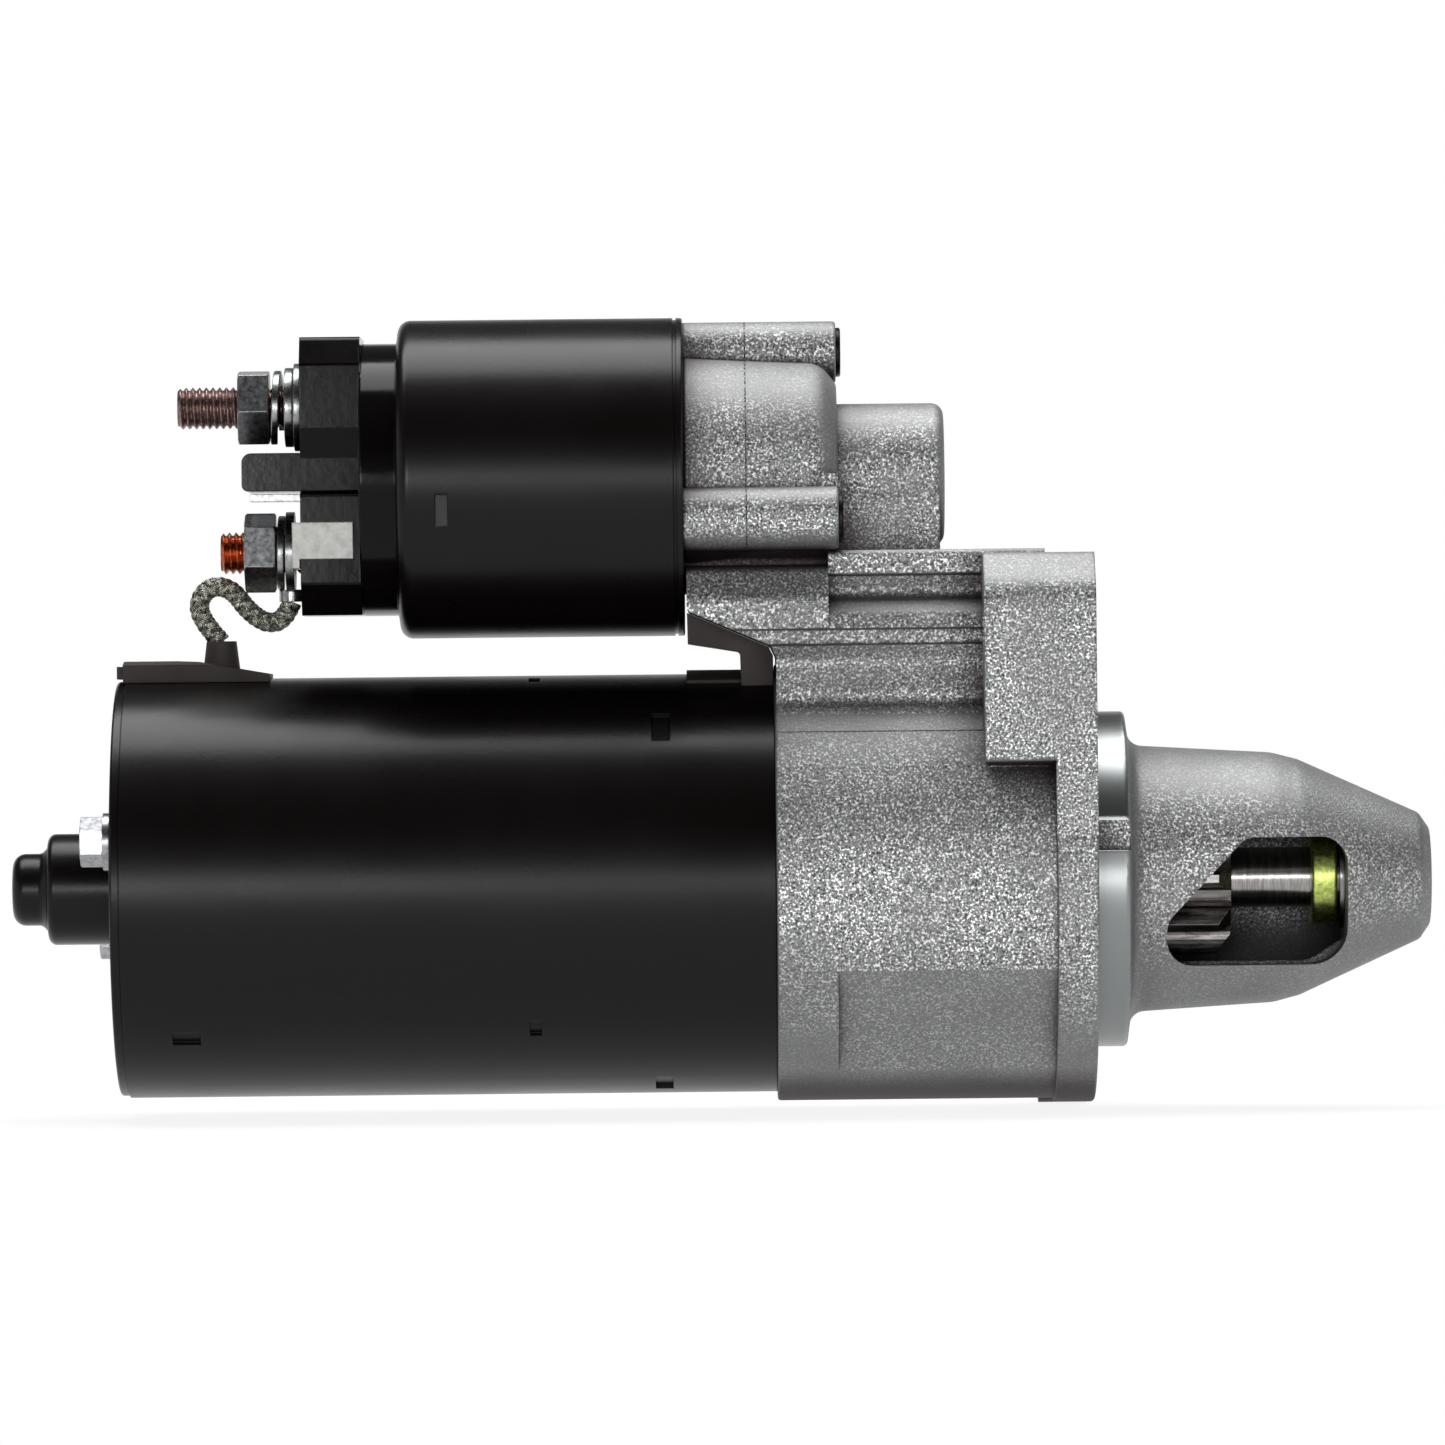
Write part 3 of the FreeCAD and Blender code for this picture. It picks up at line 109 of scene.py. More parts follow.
def add(tree, kind, settings=None, inputs=None):
    """A new node with its settings, and with a value or a link for each input."""
    node = tree.nodes.new(kind)
    for name, value in (settings or {}).items():
        setattr(node, name, value)
    for key, value in (inputs or {}).items():
        if isinstance(value, bpy.types.NodeSocket):
            tree.links.new(value, node.inputs[key])
        else:
            node.inputs[key].default_value = value
    return node


def linear(hex_colour):
    """The linear colour of an sRGB hex value."""
    parts = [int(hex_colour[i:i + 2], 16) / 255 for i in (1, 3, 5)]
    return [c / 12.92 if c <= 0.04045 else ((c + 0.055) / 1.055) ** 2.4 for c in parts] + [1.0]


def finish(name, colour, metallic=0.0, roughness=0.5):
    """A named material with its shader, to be given its grain."""
    material = bpy.data.materials.new(name)
    material.use_nodes = True
    shader = material.node_tree.nodes["Principled BSDF"]
    shader.inputs["Base Color"].default_value = linear(colour)
    shader.inputs["Metallic"].default_value = metallic
    shader.inputs["Roughness"].default_value = roughness
    return material, material.node_tree, shader


def per_mm(size):
    """The scale of a texture whose features are that many millimetres wide."""
    return 1 / (size * MM)


print("linear mid grey:", [round(v, 3) for v in linear("#808080")])

# %% [markdown]
# ## The route of the motor lead
# A short plaited lead carries the current from the solenoid's lower stud down into the motor. It
# is soft, so it leaves its rubber boss, folds over, sags and climbs to its lug. One smooth NURBS
# curve through a few listed points gives that line, and everything in the lead follows it.

# %% Route of the motor lead
route = [(-161.9, 45.8), (-165.4, 49.6), (-166.3, 53.5), (-163.7, 56.5), (-159.8, 55.7),
         (-156.9, 51.6), (-153.3, 49.1), (-150.0, 50.0), (-148.7, 53.2)]
line_data = bpy.data.curves.new("lead_line", "CURVE")
line_data.dimensions = "3D"
spline = line_data.splines.new("NURBS")
spline.points.add(len(route) - 1)
for point, (x, z) in zip(spline.points, route):
    point.co = (x * MM, 0, z * MM, 1)
spline.order_u = 3
spline.use_endpoint_u = True
spline.resolution_u = 24
line_object = bpy.data.objects.new("lead_line", line_data)
line_mesh = bpy.data.meshes.new_from_object(line_object)
lead_line = [v.co.copy() for v in line_mesh.vertices]
line_length = sum((b - a).length for a, b in zip(lead_line, lead_line[1:]))
print("lead:", len(lead_line), "points,", round(line_length / MM, 1), "mm")

# %% [markdown]
# ## Geometry Nodes for what repeats
# A tree of Geometry Nodes makes a shape from numbers, so that one tree can serve parts of several
# sizes. A helper starts such a tree with named inputs, and a second one runs it on an object with
# its own numbers and keeps the result as a plain mesh.

# %% Helpers for Geometry Nodes


def start_tree(name, sizes):
    """An empty tree with geometry in and out, and a number input for each named size."""
    tree = bpy.data.node_groups.new(name, "GeometryNodeTree")
    tree.interface.new_socket("Geometry", in_out="INPUT", socket_type="NodeSocketGeometry")
    tree.interface.new_socket("Geometry", in_out="OUTPUT", socket_type="NodeSocketGeometry")
    for size in sizes:
        kind = "NodeSocketInt" if size.startswith("Number") else "NodeSocketFloat"
        tree.interface.new_socket(size, in_out="INPUT", socket_type=kind)
    return tree, tree.nodes.new("NodeGroupInput").outputs


def end_tree(tree, geometry, material):
    """Real geometry in the given material, as the tree's result."""
    real = add(tree, "GeometryNodeRealizeInstances", inputs={0: geometry}).outputs[0]
    dressed = add(tree, "GeometryNodeSetMaterial", inputs={
        "Geometry": real, "Material": material}).outputs[0]
    add(tree, "NodeGroupOutput", inputs={0: dressed})


def grown(name, tree, sizes, seed_points=((0, 0, 0),), seed_edges=()):
    """A plain mesh object made by the tree from its seed, at the origin."""
    seed = bpy.data.meshes.new(name + "_seed")
    seed.from_pydata([tuple(p) for p in seed_points], list(seed_edges), [])
    piece = bpy.data.objects.new(name, seed)
    bpy.context.scene.collection.objects.link(piece)
    modifier = piece.modifiers.new("grow", "NODES")
    modifier.node_group = tree
    for item in tree.interface.items_tree:
        if item.in_out == "INPUT" and item.name in sizes:
            modifier[item.identifier] = sizes[item.name]
    piece.update_tag()
    ready = piece.evaluated_get(bpy.context.evaluated_depsgraph_get())
    mesh = bpy.data.meshes.new_from_object(ready)
    piece.modifiers.clear()
    piece.data = mesh
    mesh.name = name
    print(name, "has", len(mesh.polygons), "faces")
    return piece


def smooth_by_angle(piece, degrees):
    """Smooth faces, with a sharp edge wherever two of them meet at more than the angle."""
    piece.data.shade_smooth()
    piece.data.set_sharp_from_angle(angle=math.radians(degrees))


print("node groups so far:", len(bpy.data.node_groups))

# %% [markdown]
# ## Bare and plated metals
# Nuts, washers, gears and shafts are metals whose colour is their reflection, and what differs is
# how they were made: zinc plate is cloudy, a turned shaft has rings, a hobbed gear is bright with
# a trace of oil. One function makes them all from a colour, a roughness, and the size and the
# direction of the marks. Marks along an axis come from noise that is squeezed along that axis.

# %% Bare and plated metals


def metal(name, colour, darker, roughness, mark, stretch=(1, 1, 1), bump=0.1, edge=0.3):
    """A metal whose marks are that many millimetres wide, and longer where stretch is small."""
    material, tree, shader = finish(name, colour, 1.0, roughness)
    place = add(tree, "ShaderNodeTexCoord").outputs["Object"]
    squeezed = add(tree, "ShaderNodeMapping", inputs={
        "Vector": place, "Scale": stretch}).outputs[0]
    marks = add(tree, "ShaderNodeTexNoise", inputs={
        "Vector": squeezed, "Scale": per_mm(mark), "Detail": 4.0, "Roughness": 0.6}).outputs["Fac"]
    contrast = add(tree, "ShaderNodeMapRange", inputs={
        "Value": marks, "From Min": 0.35, "From Max": 0.65}).outputs[0]
    tint = add(tree, "ShaderNodeMix", {"data_type": "RGBA"}, {
        "Factor": contrast, 6: linear(darker), 7: linear(colour)}).outputs[2]
    gloss = add(tree, "ShaderNodeMath", {"operation": "MULTIPLY_ADD"}, {
        0: marks, 1: roughness * 0.6, 2: roughness * 0.7}).outputs[0]
    round_edge = add(tree, "ShaderNodeBevel", {"samples": 4}, {"Radius": edge * MM}).outputs[0]
    relief = add(tree, "ShaderNodeBump", inputs={
        "Strength": bump, "Distance": 0.1 * MM, "Height": marks, "Normal": round_edge}).outputs[0]
    tree.links.new(tint, shader.inputs["Base Color"])
    tree.links.new(gloss, shader.inputs["Roughness"])
    tree.links.new(relief, shader.inputs["Normal"])
    return material


zinc_nut = metal("zinc_plated_nut_steel", "#aeafb1", "#84858a", 0.3, 0.9, bump=0.12)
zinc_washer = metal("zinc_plated_spring_steel", "#a3a6a5", "#7a7d7c", 0.28, 1.2)
black_screw = metal("blackened_screw_steel", "#2a2526", "#191516", 0.36, 1.0)
tinned_strap = metal("tinned_copper_strip", "#7e7e7b", "#646562", 0.34, 1.8, (1, 0.3, 1), 0.12)
tinned_wire = metal("tinned_copper_wire", "#c6c6ba", "#4a4940", 0.33, 0.5, bump=0.1, edge=0.05)
brown_copper = metal("dull_copper", "#96827d", "#64504c", 0.38, 0.6, bump=0.1, edge=0.06)
bright_copper = metal("bright_copper", "#c4724a", "#8e4426", 0.3, 0.7, bump=0.1, edge=0.06)
gear_steel = metal("hobbed_gear_steel", "#8c8886", "#5f5b59", 0.28, 0.7, (0.15, 1, 1), 0.1, 0.25)
ground_shaft = metal("ground_shaft_steel", "#a3a09e", "#7d7a78", 0.2, 0.5, (1, 0.1, 0.1), 0.05)
yellow_zinc = metal("yellow_chromated_steel", "#c2d27a", "#8d9a4a", 0.34, 0.8, bump=0.15)
bronze = metal("sintered_bronze", "#a8814f", "#7a5a34", 0.45, 0.5)
lamination = metal("stacked_lamination_steel", "#6d6c6c", "#4a4949", 0.45, 0.5, (1, 0.05, 0.05), 0.4)
enamel = metal("enamelled_copper_winding", "#9a4a22", "#6a2c12", 0.3, 0.9, (0.2, 1, 1), 0.5)
spring_wire = metal("drawn_spring_wire", "#86878a", "#5f6063", 0.3, 0.6)
print("metals: 14")

# %% [markdown]
# ## Plaited copper lead
# The lead is a tube of tinned wires: six ribbons wind one way and six the other, each passing over
# and under the ones it meets. A picture of a plait would look flat at the folds. Here the centre
# line is copied once for each wire, and every copy is pushed out to its place on a helix. The wave
# in its distance from the middle is the weave. Two opposite helices with opposite waves always
# cross one over the other. The step between the wires of a ribbon is a share of one turn.

# %% Plaited copper lead
RIBBONS = 6
WIRES = 4
PLAIT_RADIUS = 1.58 * MM
LAY = 13.0 * MM
WAVE = 0.17 * MM
WIRE_RADIUS = 0.15 * MM
WIRE_STEP = 0.036
STEPS_ALONG = 150
CORE_SHARE = 0.86
plait, size = start_tree("plait", ["Number of ribbons", "Number of wires", "Radius", "Lay",
                                   "Wave", "Wire radius", "Wire step"])
line = add(plait, "GeometryNodeMeshToCurve", inputs={0: size["Geometry"]}).outputs[0]
line = add(plait, "GeometryNodeResampleCurve", inputs={0: line, "Count": STEPS_ALONG}).outputs[0]
one_way = add(plait, "ShaderNodeMath", {"operation": "MULTIPLY"}, {
    0: size["Number of ribbons"], 1: size["Number of wires"]}).outputs[0]
copies = add(plait, "ShaderNodeMath", {"operation": "MULTIPLY"}, {0: one_way, 1: 2.0}).outputs[0]
wires = add(plait, "GeometryNodeDuplicateElements", {"domain": "SPLINE"}, {
    "Geometry": line, "Amount": copies})
number = wires.outputs["Duplicate Index"]
way = add(plait, "ShaderNodeMath", {"operation": "LESS_THAN"}, {0: number, 1: one_way}).outputs[0]
way = add(plait, "ShaderNodeMath", {"operation": "MULTIPLY_ADD"}, {
    0: way, 1: 2.0, 2: -1.0}).outputs[0]
ribbon = add(plait, "ShaderNodeMath", {"operation": "DIVIDE"}, {
    0: number, 1: size["Number of wires"]}).outputs[0]
ribbon = add(plait, "ShaderNodeMath", {"operation": "FLOOR"}, {0: ribbon}).outputs[0]
wire = add(plait, "ShaderNodeMath", {"operation": "MODULO"}, {
    0: number, 1: size["Number of wires"]}).outputs[0]
middle = add(plait, "ShaderNodeMath", {"operation": "MULTIPLY_ADD"}, {
    0: size["Number of wires"], 1: -0.5, 2: 0.5}).outputs[0]
aside = add(plait, "ShaderNodeMath", {"operation": "ADD"}, {0: wire, 1: middle}).outputs[0]
aside = add(plait, "ShaderNodeMath", {"operation": "MULTIPLY"}, {
    0: aside, 1: size["Wire step"]}).outputs[0]
ahead = add(plait, "GeometryNodeSplineParameter").outputs["Length"]
turns = add(plait, "ShaderNodeMath", {"operation": "DIVIDE"}, {
    0: ahead, 1: size["Lay"]}).outputs[0]
wound = add(plait, "ShaderNodeMath", {"operation": "MULTIPLY"}, {0: turns, 1: way}).outputs[0]
start = add(plait, "ShaderNodeMath", {"operation": "DIVIDE"}, {
    0: ribbon, 1: size["Number of ribbons"]}).outputs[0]
part_turn = add(plait, "ShaderNodeMath", {"operation": "ADD"}, {0: wound, 1: start}).outputs[0]
part_turn = add(plait, "ShaderNodeMath", {"operation": "ADD"}, {
    0: part_turn, 1: aside}).outputs[0]
angle = add(plait, "ShaderNodeMath", {"operation": "MULTIPLY"}, {
    0: part_turn, 1: 2 * math.pi}).outputs[0]
beat = add(plait, "ShaderNodeMath", {"operation": "MULTIPLY"}, {
    0: turns, 1: size["Number of ribbons"]}).outputs[0]
beat = add(plait, "ShaderNodeMath", {"operation": "MULTIPLY"}, {
    0: beat, 1: 2 * math.pi}).outputs[0]
wave = add(plait, "ShaderNodeMath", {"operation": "COSINE"}, {0: beat}).outputs[0]
wave = add(plait, "ShaderNodeMath", {"operation": "MULTIPLY"}, {0: wave, 1: way}).outputs[0]
out = add(plait, "ShaderNodeMath", {"operation": "MULTIPLY_ADD"}, {
    0: wave, 1: size["Wave"], 2: size["Radius"]}).outputs[0]
forward = add(plait, "GeometryNodeInputTangent").outputs[0]
upward = add(plait, "ShaderNodeVectorMath", {"operation": "CROSS_PRODUCT"}, {
    0: forward, 1: (0, 1, 0)}).outputs[0]
across = add(plait, "ShaderNodeMath", {"operation": "COSINE"}, {0: angle}).outputs[0]
across = add(plait, "ShaderNodeMath", {"operation": "MULTIPLY"}, {0: across, 1: out}).outputs[0]
across = add(plait, "ShaderNodeCombineXYZ", inputs={"Y": across}).outputs[0]
raised = add(plait, "ShaderNodeMath", {"operation": "SINE"}, {0: angle}).outputs[0]
raised = add(plait, "ShaderNodeMath", {"operation": "MULTIPLY"}, {0: raised, 1: out}).outputs[0]
raised = add(plait, "ShaderNodeVectorMath", {"operation": "SCALE"}, {
    0: upward, "Scale": raised}).outputs[0]
offset = add(plait, "ShaderNodeVectorMath", {"operation": "ADD"}, {0: across, 1: raised}).outputs[0]
helices = add(plait, "GeometryNodeSetPosition", inputs={
    "Geometry": wires.outputs["Geometry"], "Offset": offset}).outputs[0]
section = add(plait, "GeometryNodeCurvePrimitiveCircle", inputs={
    "Resolution": 5, "Radius": size["Wire radius"]}).outputs[0]
strands = add(plait, "GeometryNodeCurveToMesh", inputs={
    "Curve": helices, "Profile Curve": section, "Fill Caps": True}).outputs[0]
core_size = add(plait, "ShaderNodeMath", {"operation": "MULTIPLY"}, {
    0: size["Radius"], 1: CORE_SHARE}).outputs[0]
core_section = add(plait, "GeometryNodeCurvePrimitiveCircle", inputs={
    "Resolution": 16, "Radius": core_size}).outputs[0]
core = add(plait, "GeometryNodeCurveToMesh", inputs={
    "Curve": line, "Profile Curve": core_section, "Fill Caps": True}).outputs[0]
joined = add(plait, "GeometryNodeJoinGeometry")
plait.links.new(strands, joined.inputs[0])
plait.links.new(core, joined.inputs[0])
end_tree(plait, joined.outputs[0], tinned_wire)
lead = grown("braided_lead", plait, {
    "Number of ribbons": RIBBONS, "Number of wires": WIRES, "Radius": PLAIT_RADIUS, "Lay": LAY,
    "Wave": WAVE, "Wire radius": WIRE_RADIUS, "Wire step": WIRE_STEP},
    lead_line, [(i, i + 1) for i in range(len(lead_line) - 1)])
smooth_by_angle(lead, 80)
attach(lead, "housing")
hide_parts("motor_lead")

# %% [markdown]
# ## Cast aluminium
# The drive-end housing is die cast and then shot blasted, which leaves thousands of tiny dents.
# Their glints are painted into the colour as salt and pepper on faces turned along Y, towards or
# away from the view, and the colour blurs into an even grey where the wall turns aside. The painted
# glints lie in patches. An image could show that, but noise in object space has no seams. The grit
# is about half a millimetre. Painted shade darkens the hollows, which the Ambient Occlusion node
# finds.

# %% Grit, painted glints and painted shade of the casting
GRIT = 0.46
PATCH = 16.0
PAINTED_SHADE_REACH = 9.0 * MM
cast_aluminium, tree, shader = finish("shot_blasted_cast_aluminium", "#7b7c7c", 1.0, 0.48)
spot = add(tree, "ShaderNodeTexCoord")
place = spot.outputs["Object"]
grit = add(tree, "ShaderNodeTexNoise", inputs={
    "Vector": place, "Scale": per_mm(GRIT), "Detail": 1.0, "Roughness": 0.7}).outputs["Fac"]
# Painted glints: white and dark specks in the colour stand in for light glinting off the dents.
painted_glint_specks = add(tree, "ShaderNodeValToRGB", inputs={"Fac": grit})
ramp = painted_glint_specks.color_ramp
ramp.elements[0].position, ramp.elements[0].color = 0.34, linear("#434344")
ramp.elements[1].position, ramp.elements[1].color = 0.65, linear("#ffffff")
for position, shade in ((0.43, "#858687"), (0.56, "#989999")):
    ramp.elements.new(position).color = linear(shade)
# The painted glints show only on faces turned along Y, towards or away from the view; slanted faces
# keep the even grey.
facing = add(tree, "ShaderNodeSeparateXYZ", inputs={0: spot.outputs["Normal"]}).outputs["Y"]
facing = add(tree, "ShaderNodeMath", {"operation": "ABSOLUTE"}, {0: facing}).outputs[0]
painted_glint_share = add(tree, "ShaderNodeMapRange", inputs={
    "Value": facing, "From Min": 0.72, "From Max": 0.98, "To Min": 0.15}).outputs[0]
cloud = add(tree, "ShaderNodeTexNoise", inputs={
    "Vector": place, "Scale": per_mm(PATCH), "Detail": 2.0}).outputs["Fac"]
patches = add(tree, "ShaderNodeMapRange", inputs={
    "Value": cloud, "From Min": 0.36, "From Max": 0.56, "To Min": 0.6}).outputs[0]
painted_glint_share = add(tree, "ShaderNodeMath", {"operation": "MULTIPLY"}, {
    0: painted_glint_share, 1: patches}).outputs[0]
even = add(tree, "ShaderNodeMix", {"data_type": "RGBA"}, {
    "Factor": cloud, 6: linear("#757576"), 7: linear("#8e8f8f")}).outputs[2]
grey = add(tree, "ShaderNodeMix", {"data_type": "RGBA"}, {
    "Factor": painted_glint_share, 6: even, 7: painted_glint_specks.outputs["Color"]}).outputs[2]
# Painted shade: the hollows that the Ambient Occlusion node finds are darkened towards a brown-grey.
open_air = add(tree, "ShaderNodeAmbientOcclusion", {"samples": 4}, {
    "Distance": PAINTED_SHADE_REACH}).outputs["AO"]
unshaded_share = add(tree, "ShaderNodeMapRange", inputs={
    "Value": open_air, "From Min": 0.35, "From Max": 0.85}).outputs[0]
with_painted_crevice_shade = add(tree, "ShaderNodeMix", {"data_type": "RGBA"}, {
    "Factor": unshaded_share, 6: linear("#3b3335"), 7: grey}).outputs[2]
print("casting: grit", GRIT, "mm")

# %% [markdown]
# ## Parting line and turned ring
# A dotted line runs round the neck where the two halves of the die met. The pilot ring is turned
# on a lathe, so it is smooth and bright, and a mask by place in the part tells it from the rest.

# %% Parting line and turned ring
PARTING_X = -63.8 * MM
PARTING_LOWEST = 62.0 * MM
PARTING_HALF = 0.16 * MM
RING_INNER = 31.0 * MM
RING_STARTS = 0.3 * MM
CAST_EDGE = 0.7 * MM
DENT = 0.2 * MM
at = add(tree, "ShaderNodeSeparateXYZ", inputs={0: place})
on_line = add(tree, "ShaderNodeMath", {"operation": "COMPARE"}, {
    0: at.outputs["X"], 1: PARTING_X, 2: PARTING_HALF}).outputs[0]
high_up = add(tree, "ShaderNodeMath", {"operation": "GREATER_THAN"}, {
    0: at.outputs["Z"], 1: PARTING_LOWEST}).outputs[0]
dotted = add(tree, "ShaderNodeMath", {"operation": "GREATER_THAN"}, {0: grit, 1: 0.5}).outputs[0]
parting = add(tree, "ShaderNodeMath", {"operation": "MULTIPLY"}, {0: on_line, 1: high_up}).outputs[0]
parting = add(tree, "ShaderNodeMath", {"operation": "MULTIPLY"}, {0: parting, 1: dotted}).outputs[0]
lined = add(tree, "ShaderNodeMix", {"data_type": "RGBA"}, {
    "Factor": parting, 6: with_painted_crevice_shade, 7: linear("#2c2c2d")}).outputs[2]
beyond = add(tree, "ShaderNodeMath", {"operation": "GREATER_THAN"}, {
    0: at.outputs["X"], 1: RING_STARTS}).outputs[0]
from_axis = add(tree, "ShaderNodeVectorMath", {"operation": "MULTIPLY"}, {
    0: place, 1: (0, 1, 1)}).outputs[0]
reach = add(tree, "ShaderNodeVectorMath", {"operation": "LENGTH"}, {0: from_axis}).outputs["Value"]
outer = add(tree, "ShaderNodeMath", {"operation": "GREATER_THAN"}, {
    0: reach, 1: RING_INNER}).outputs[0]
turned = add(tree, "ShaderNodeMath", {"operation": "MULTIPLY"}, {0: beyond, 1: outer}).outputs[0]
colour = add(tree, "ShaderNodeMix", {"data_type": "RGBA"}, {
    "Factor": turned, 6: lined, 7: linear("#868989")}).outputs[2]
gloss = add(tree, "ShaderNodeMath", {"operation": "MULTIPLY_ADD"}, {
    0: turned, 1: -0.3, 2: 0.6}).outputs[0]
depth = add(tree, "ShaderNodeMath", {"operation": "MULTIPLY_ADD"}, {
    0: turned, 1: -0.5, 2: 0.5}).outputs[0]
soft_edge = add(tree, "ShaderNodeBevel", {"samples": 4}, {"Radius": CAST_EDGE}).outputs[0]
dents = add(tree, "ShaderNodeBump", inputs={
    "Strength": depth, "Distance": DENT, "Height": grit, "Normal": soft_edge}).outputs[0]
tree.links.new(colour, shader.inputs["Base Color"])
tree.links.new(gloss, shader.inputs["Roughness"])
tree.links.new(dents, shader.inputs["Normal"])
print("casting: parting line at", round(PARTING_X / MM, 1), "mm")

# %% [markdown]
# ## Satin black paint on steel
# The motor's tube and the solenoid's can are deep-drawn steel in a thin black paint. Paint is not
# a metal: it has a dark colour and a weak, broad shine. Its film is a little uneven, so the
# roughness wanders over some centimetres, and a fine orange peel bends the highlights.

# %% Satin black paint
WANDER = 22.0
PEEL = 0.9
PAINT_EDGE = 0.4 * MM
black_paint, tree, shader = finish("satin_black_paint_on_steel", "#080505", 0.0, 0.3)
shader.inputs["Specular IOR Level"].default_value = 0.2
place = add(tree, "ShaderNodeTexCoord").outputs["Object"]
wander = add(tree, "ShaderNodeTexNoise", inputs={
    "Vector": place, "Scale": per_mm(WANDER), "Detail": 3.0}).outputs["Fac"]
gloss = add(tree, "ShaderNodeMath", {"operation": "MULTIPLY_ADD"}, {
    0: wander, 1: 0.16, 2: 0.2}).outputs[0]
peel = add(tree, "ShaderNodeTexNoise", inputs={
    "Vector": place, "Scale": per_mm(PEEL), "Detail": 2.0}).outputs["Fac"]
soft_edge = add(tree, "ShaderNodeBevel", {"samples": 4}, {"Radius": PAINT_EDGE}).outputs[0]
skin = add(tree, "ShaderNodeBump", inputs={
    "Strength": 0.12, "Distance": 0.1 * MM, "Height": peel, "Normal": soft_edge}).outputs[0]
tree.links.new(gloss, shader.inputs["Roughness"])
tree.links.new(skin, shader.inputs["Normal"])
print("black paint: orange peel", PEEL, "mm")

# %% [markdown]
# ## Moulded plastics and rubber
# The terminal cap is a black phenolic moulding from a polished tool, so its flat faces mirror and
# its small rounded edges flash white. The Bevel node rounds an edge for the light alone, which is
# enough for an edge of a third of a millimetre. Rubber is the same black without the gloss.

# %% Moulded plastics and rubber
FLOW = 9.0


def moulded(name, colour, roughness, edge, grain, bump, shine=0.3):
    """A moulding: its edge is the radius of its corners and its grain the size of its texture."""
    material, tree, shader = finish(name, colour, 0.0, roughness)
    shader.inputs["Specular IOR Level"].default_value = shine
    place = add(tree, "ShaderNodeTexCoord").outputs["Object"]
    grains = add(tree, "ShaderNodeTexNoise", inputs={
        "Vector": place, "Scale": per_mm(grain), "Detail": 3.0}).outputs["Fac"]
    flow = add(tree, "ShaderNodeTexNoise", inputs={
        "Vector": place, "Scale": per_mm(FLOW), "Detail": 2.0}).outputs["Fac"]
    gloss = add(tree, "ShaderNodeMath", {"operation": "MULTIPLY_ADD"}, {
        0: flow, 1: roughness * 0.5, 2: roughness * 0.75}).outputs[0]
    round_edge = add(tree, "ShaderNodeBevel", {"samples": 4}, {"Radius": edge * MM}).outputs[0]
    skin = add(tree, "ShaderNodeBump", inputs={
        "Strength": bump, "Distance": 0.1 * MM, "Height": grains, "Normal": round_edge}).outputs[0]
    tree.links.new(gloss, shader.inputs["Roughness"])
    tree.links.new(skin, shader.inputs["Normal"])
    return material


cap_moulding = moulded("gloss_black_phenolic_moulding", "#070506", 0.12, 0.35, 1.6, 0.08, 0.13)
inner_moulding = moulded("glass_filled_nylon", "#3a332b", 0.45, 0.3, 0.8, 0.25)
lever_moulding = moulded("dark_glass_filled_nylon", "#2a2c2e", 0.4, 0.4, 0.8, 0.25)
rubber = moulded("moulded_rubber", "#2b2422", 0.62, 0.4, 0.5, 0.35)
print("mouldings: 4")

# %% [markdown]
# ## Sintered materials
# A ferrite magnet and a carbon brush are pressed from powder: dark, dull and slightly sparkling.

# %% Sintered materials
ferrite = moulded("pressed_ferrite", "#2f2f31", 0.55, 0.3, 0.4, 0.3)
carbon = moulded("pressed_carbon", "#3a3837", 0.5, 0.3, 0.3, 0.3)
print("powders: 2")

# %% [markdown]
# ## Which part has which finish
# A CAD part keeps its shape, and only its material is exchanged. A table of finishes with their
# parts is easier to check than sixty separate lines.

# %% Give the CAD parts their finishes
finishes = {
    cast_aluminium: ["drive_end_housing"],
    black_paint: ["yoke", "rear_cover", "end_cap", "solenoid_can"],
    zinc_nut: ["terminal_nuts", "through_bolts"],
    zinc_washer: ["terminal_washers", "motor_lug", "trigger_terminal"],
    black_screw: ["solenoid_screws"],
    cap_moulding: ["terminal_cap"],
    inner_moulding: ["brush_holders", "brush_plate", "ring_gear", "coil_bobbin"],
    lever_moulding: ["fork_lever", "drive_ring"],
    rubber: ["lead_grommet", "lever_seal"],
    brown_copper: ["battery_stud", "contact_plate", "commutator"],
    bright_copper: ["motor_stud"],
    tinned_wire: ["motor_lead"],
    tinned_strap: ["motor_strap"],
    gear_steel: ["pinion", "planet_gear_1", "planet_gear_2", "planet_gear_3", "planet_pins",
                 "clutch_shell", "clutch_rollers", "drive_sleeve"],
    ground_shaft: ["output_shaft", "armature_shaft", "carrier_washer", "nose_washer", "lever_pin",
                   "stop_core", "plunger", "contact_rod", "shield_plate", "clutch_cover"],
    yellow_zinc: ["stop_collar"],
    bronze: ["rear_bush", "output_bushes"],
    lamination: ["armature_core"],
    enamel: ["armature_winding", "solenoid_coil"],
    ferrite: ["magnets"],
    carbon: ["brush_1", "brush_2", "brush_3", "brush_4"],
    spring_wire: ["brush_springs", "return_spring", "contact_spring", "shaft_clip", "sleeve_clip"],
}
dressed = set()
for material, names in finishes.items():
    for name in names:
        part = nodes[name]
        if not part.material_slots:
            part.data.materials.append(material)
        for slot in part.material_slots:
            slot.material = material
        dressed.add(name)
print("parts dressed:", len(dressed), "left out:", sorted(set(nodes) - dressed))

# %% [markdown]
# ## Threads on the studs
# An M8 thread is a ridge that climbs 1.25 mm for each turn. The tree bends a flat grid into a
# tube: one way along the grid becomes the stud's length and the other way its angle. How far each
# point stands from the axis depends on the length minus the climb of the thread at that angle,
# which makes one true helix. The first and last rows shrink to a point and close the ends. The
# bolt's hexagonal head sits inside the cap.

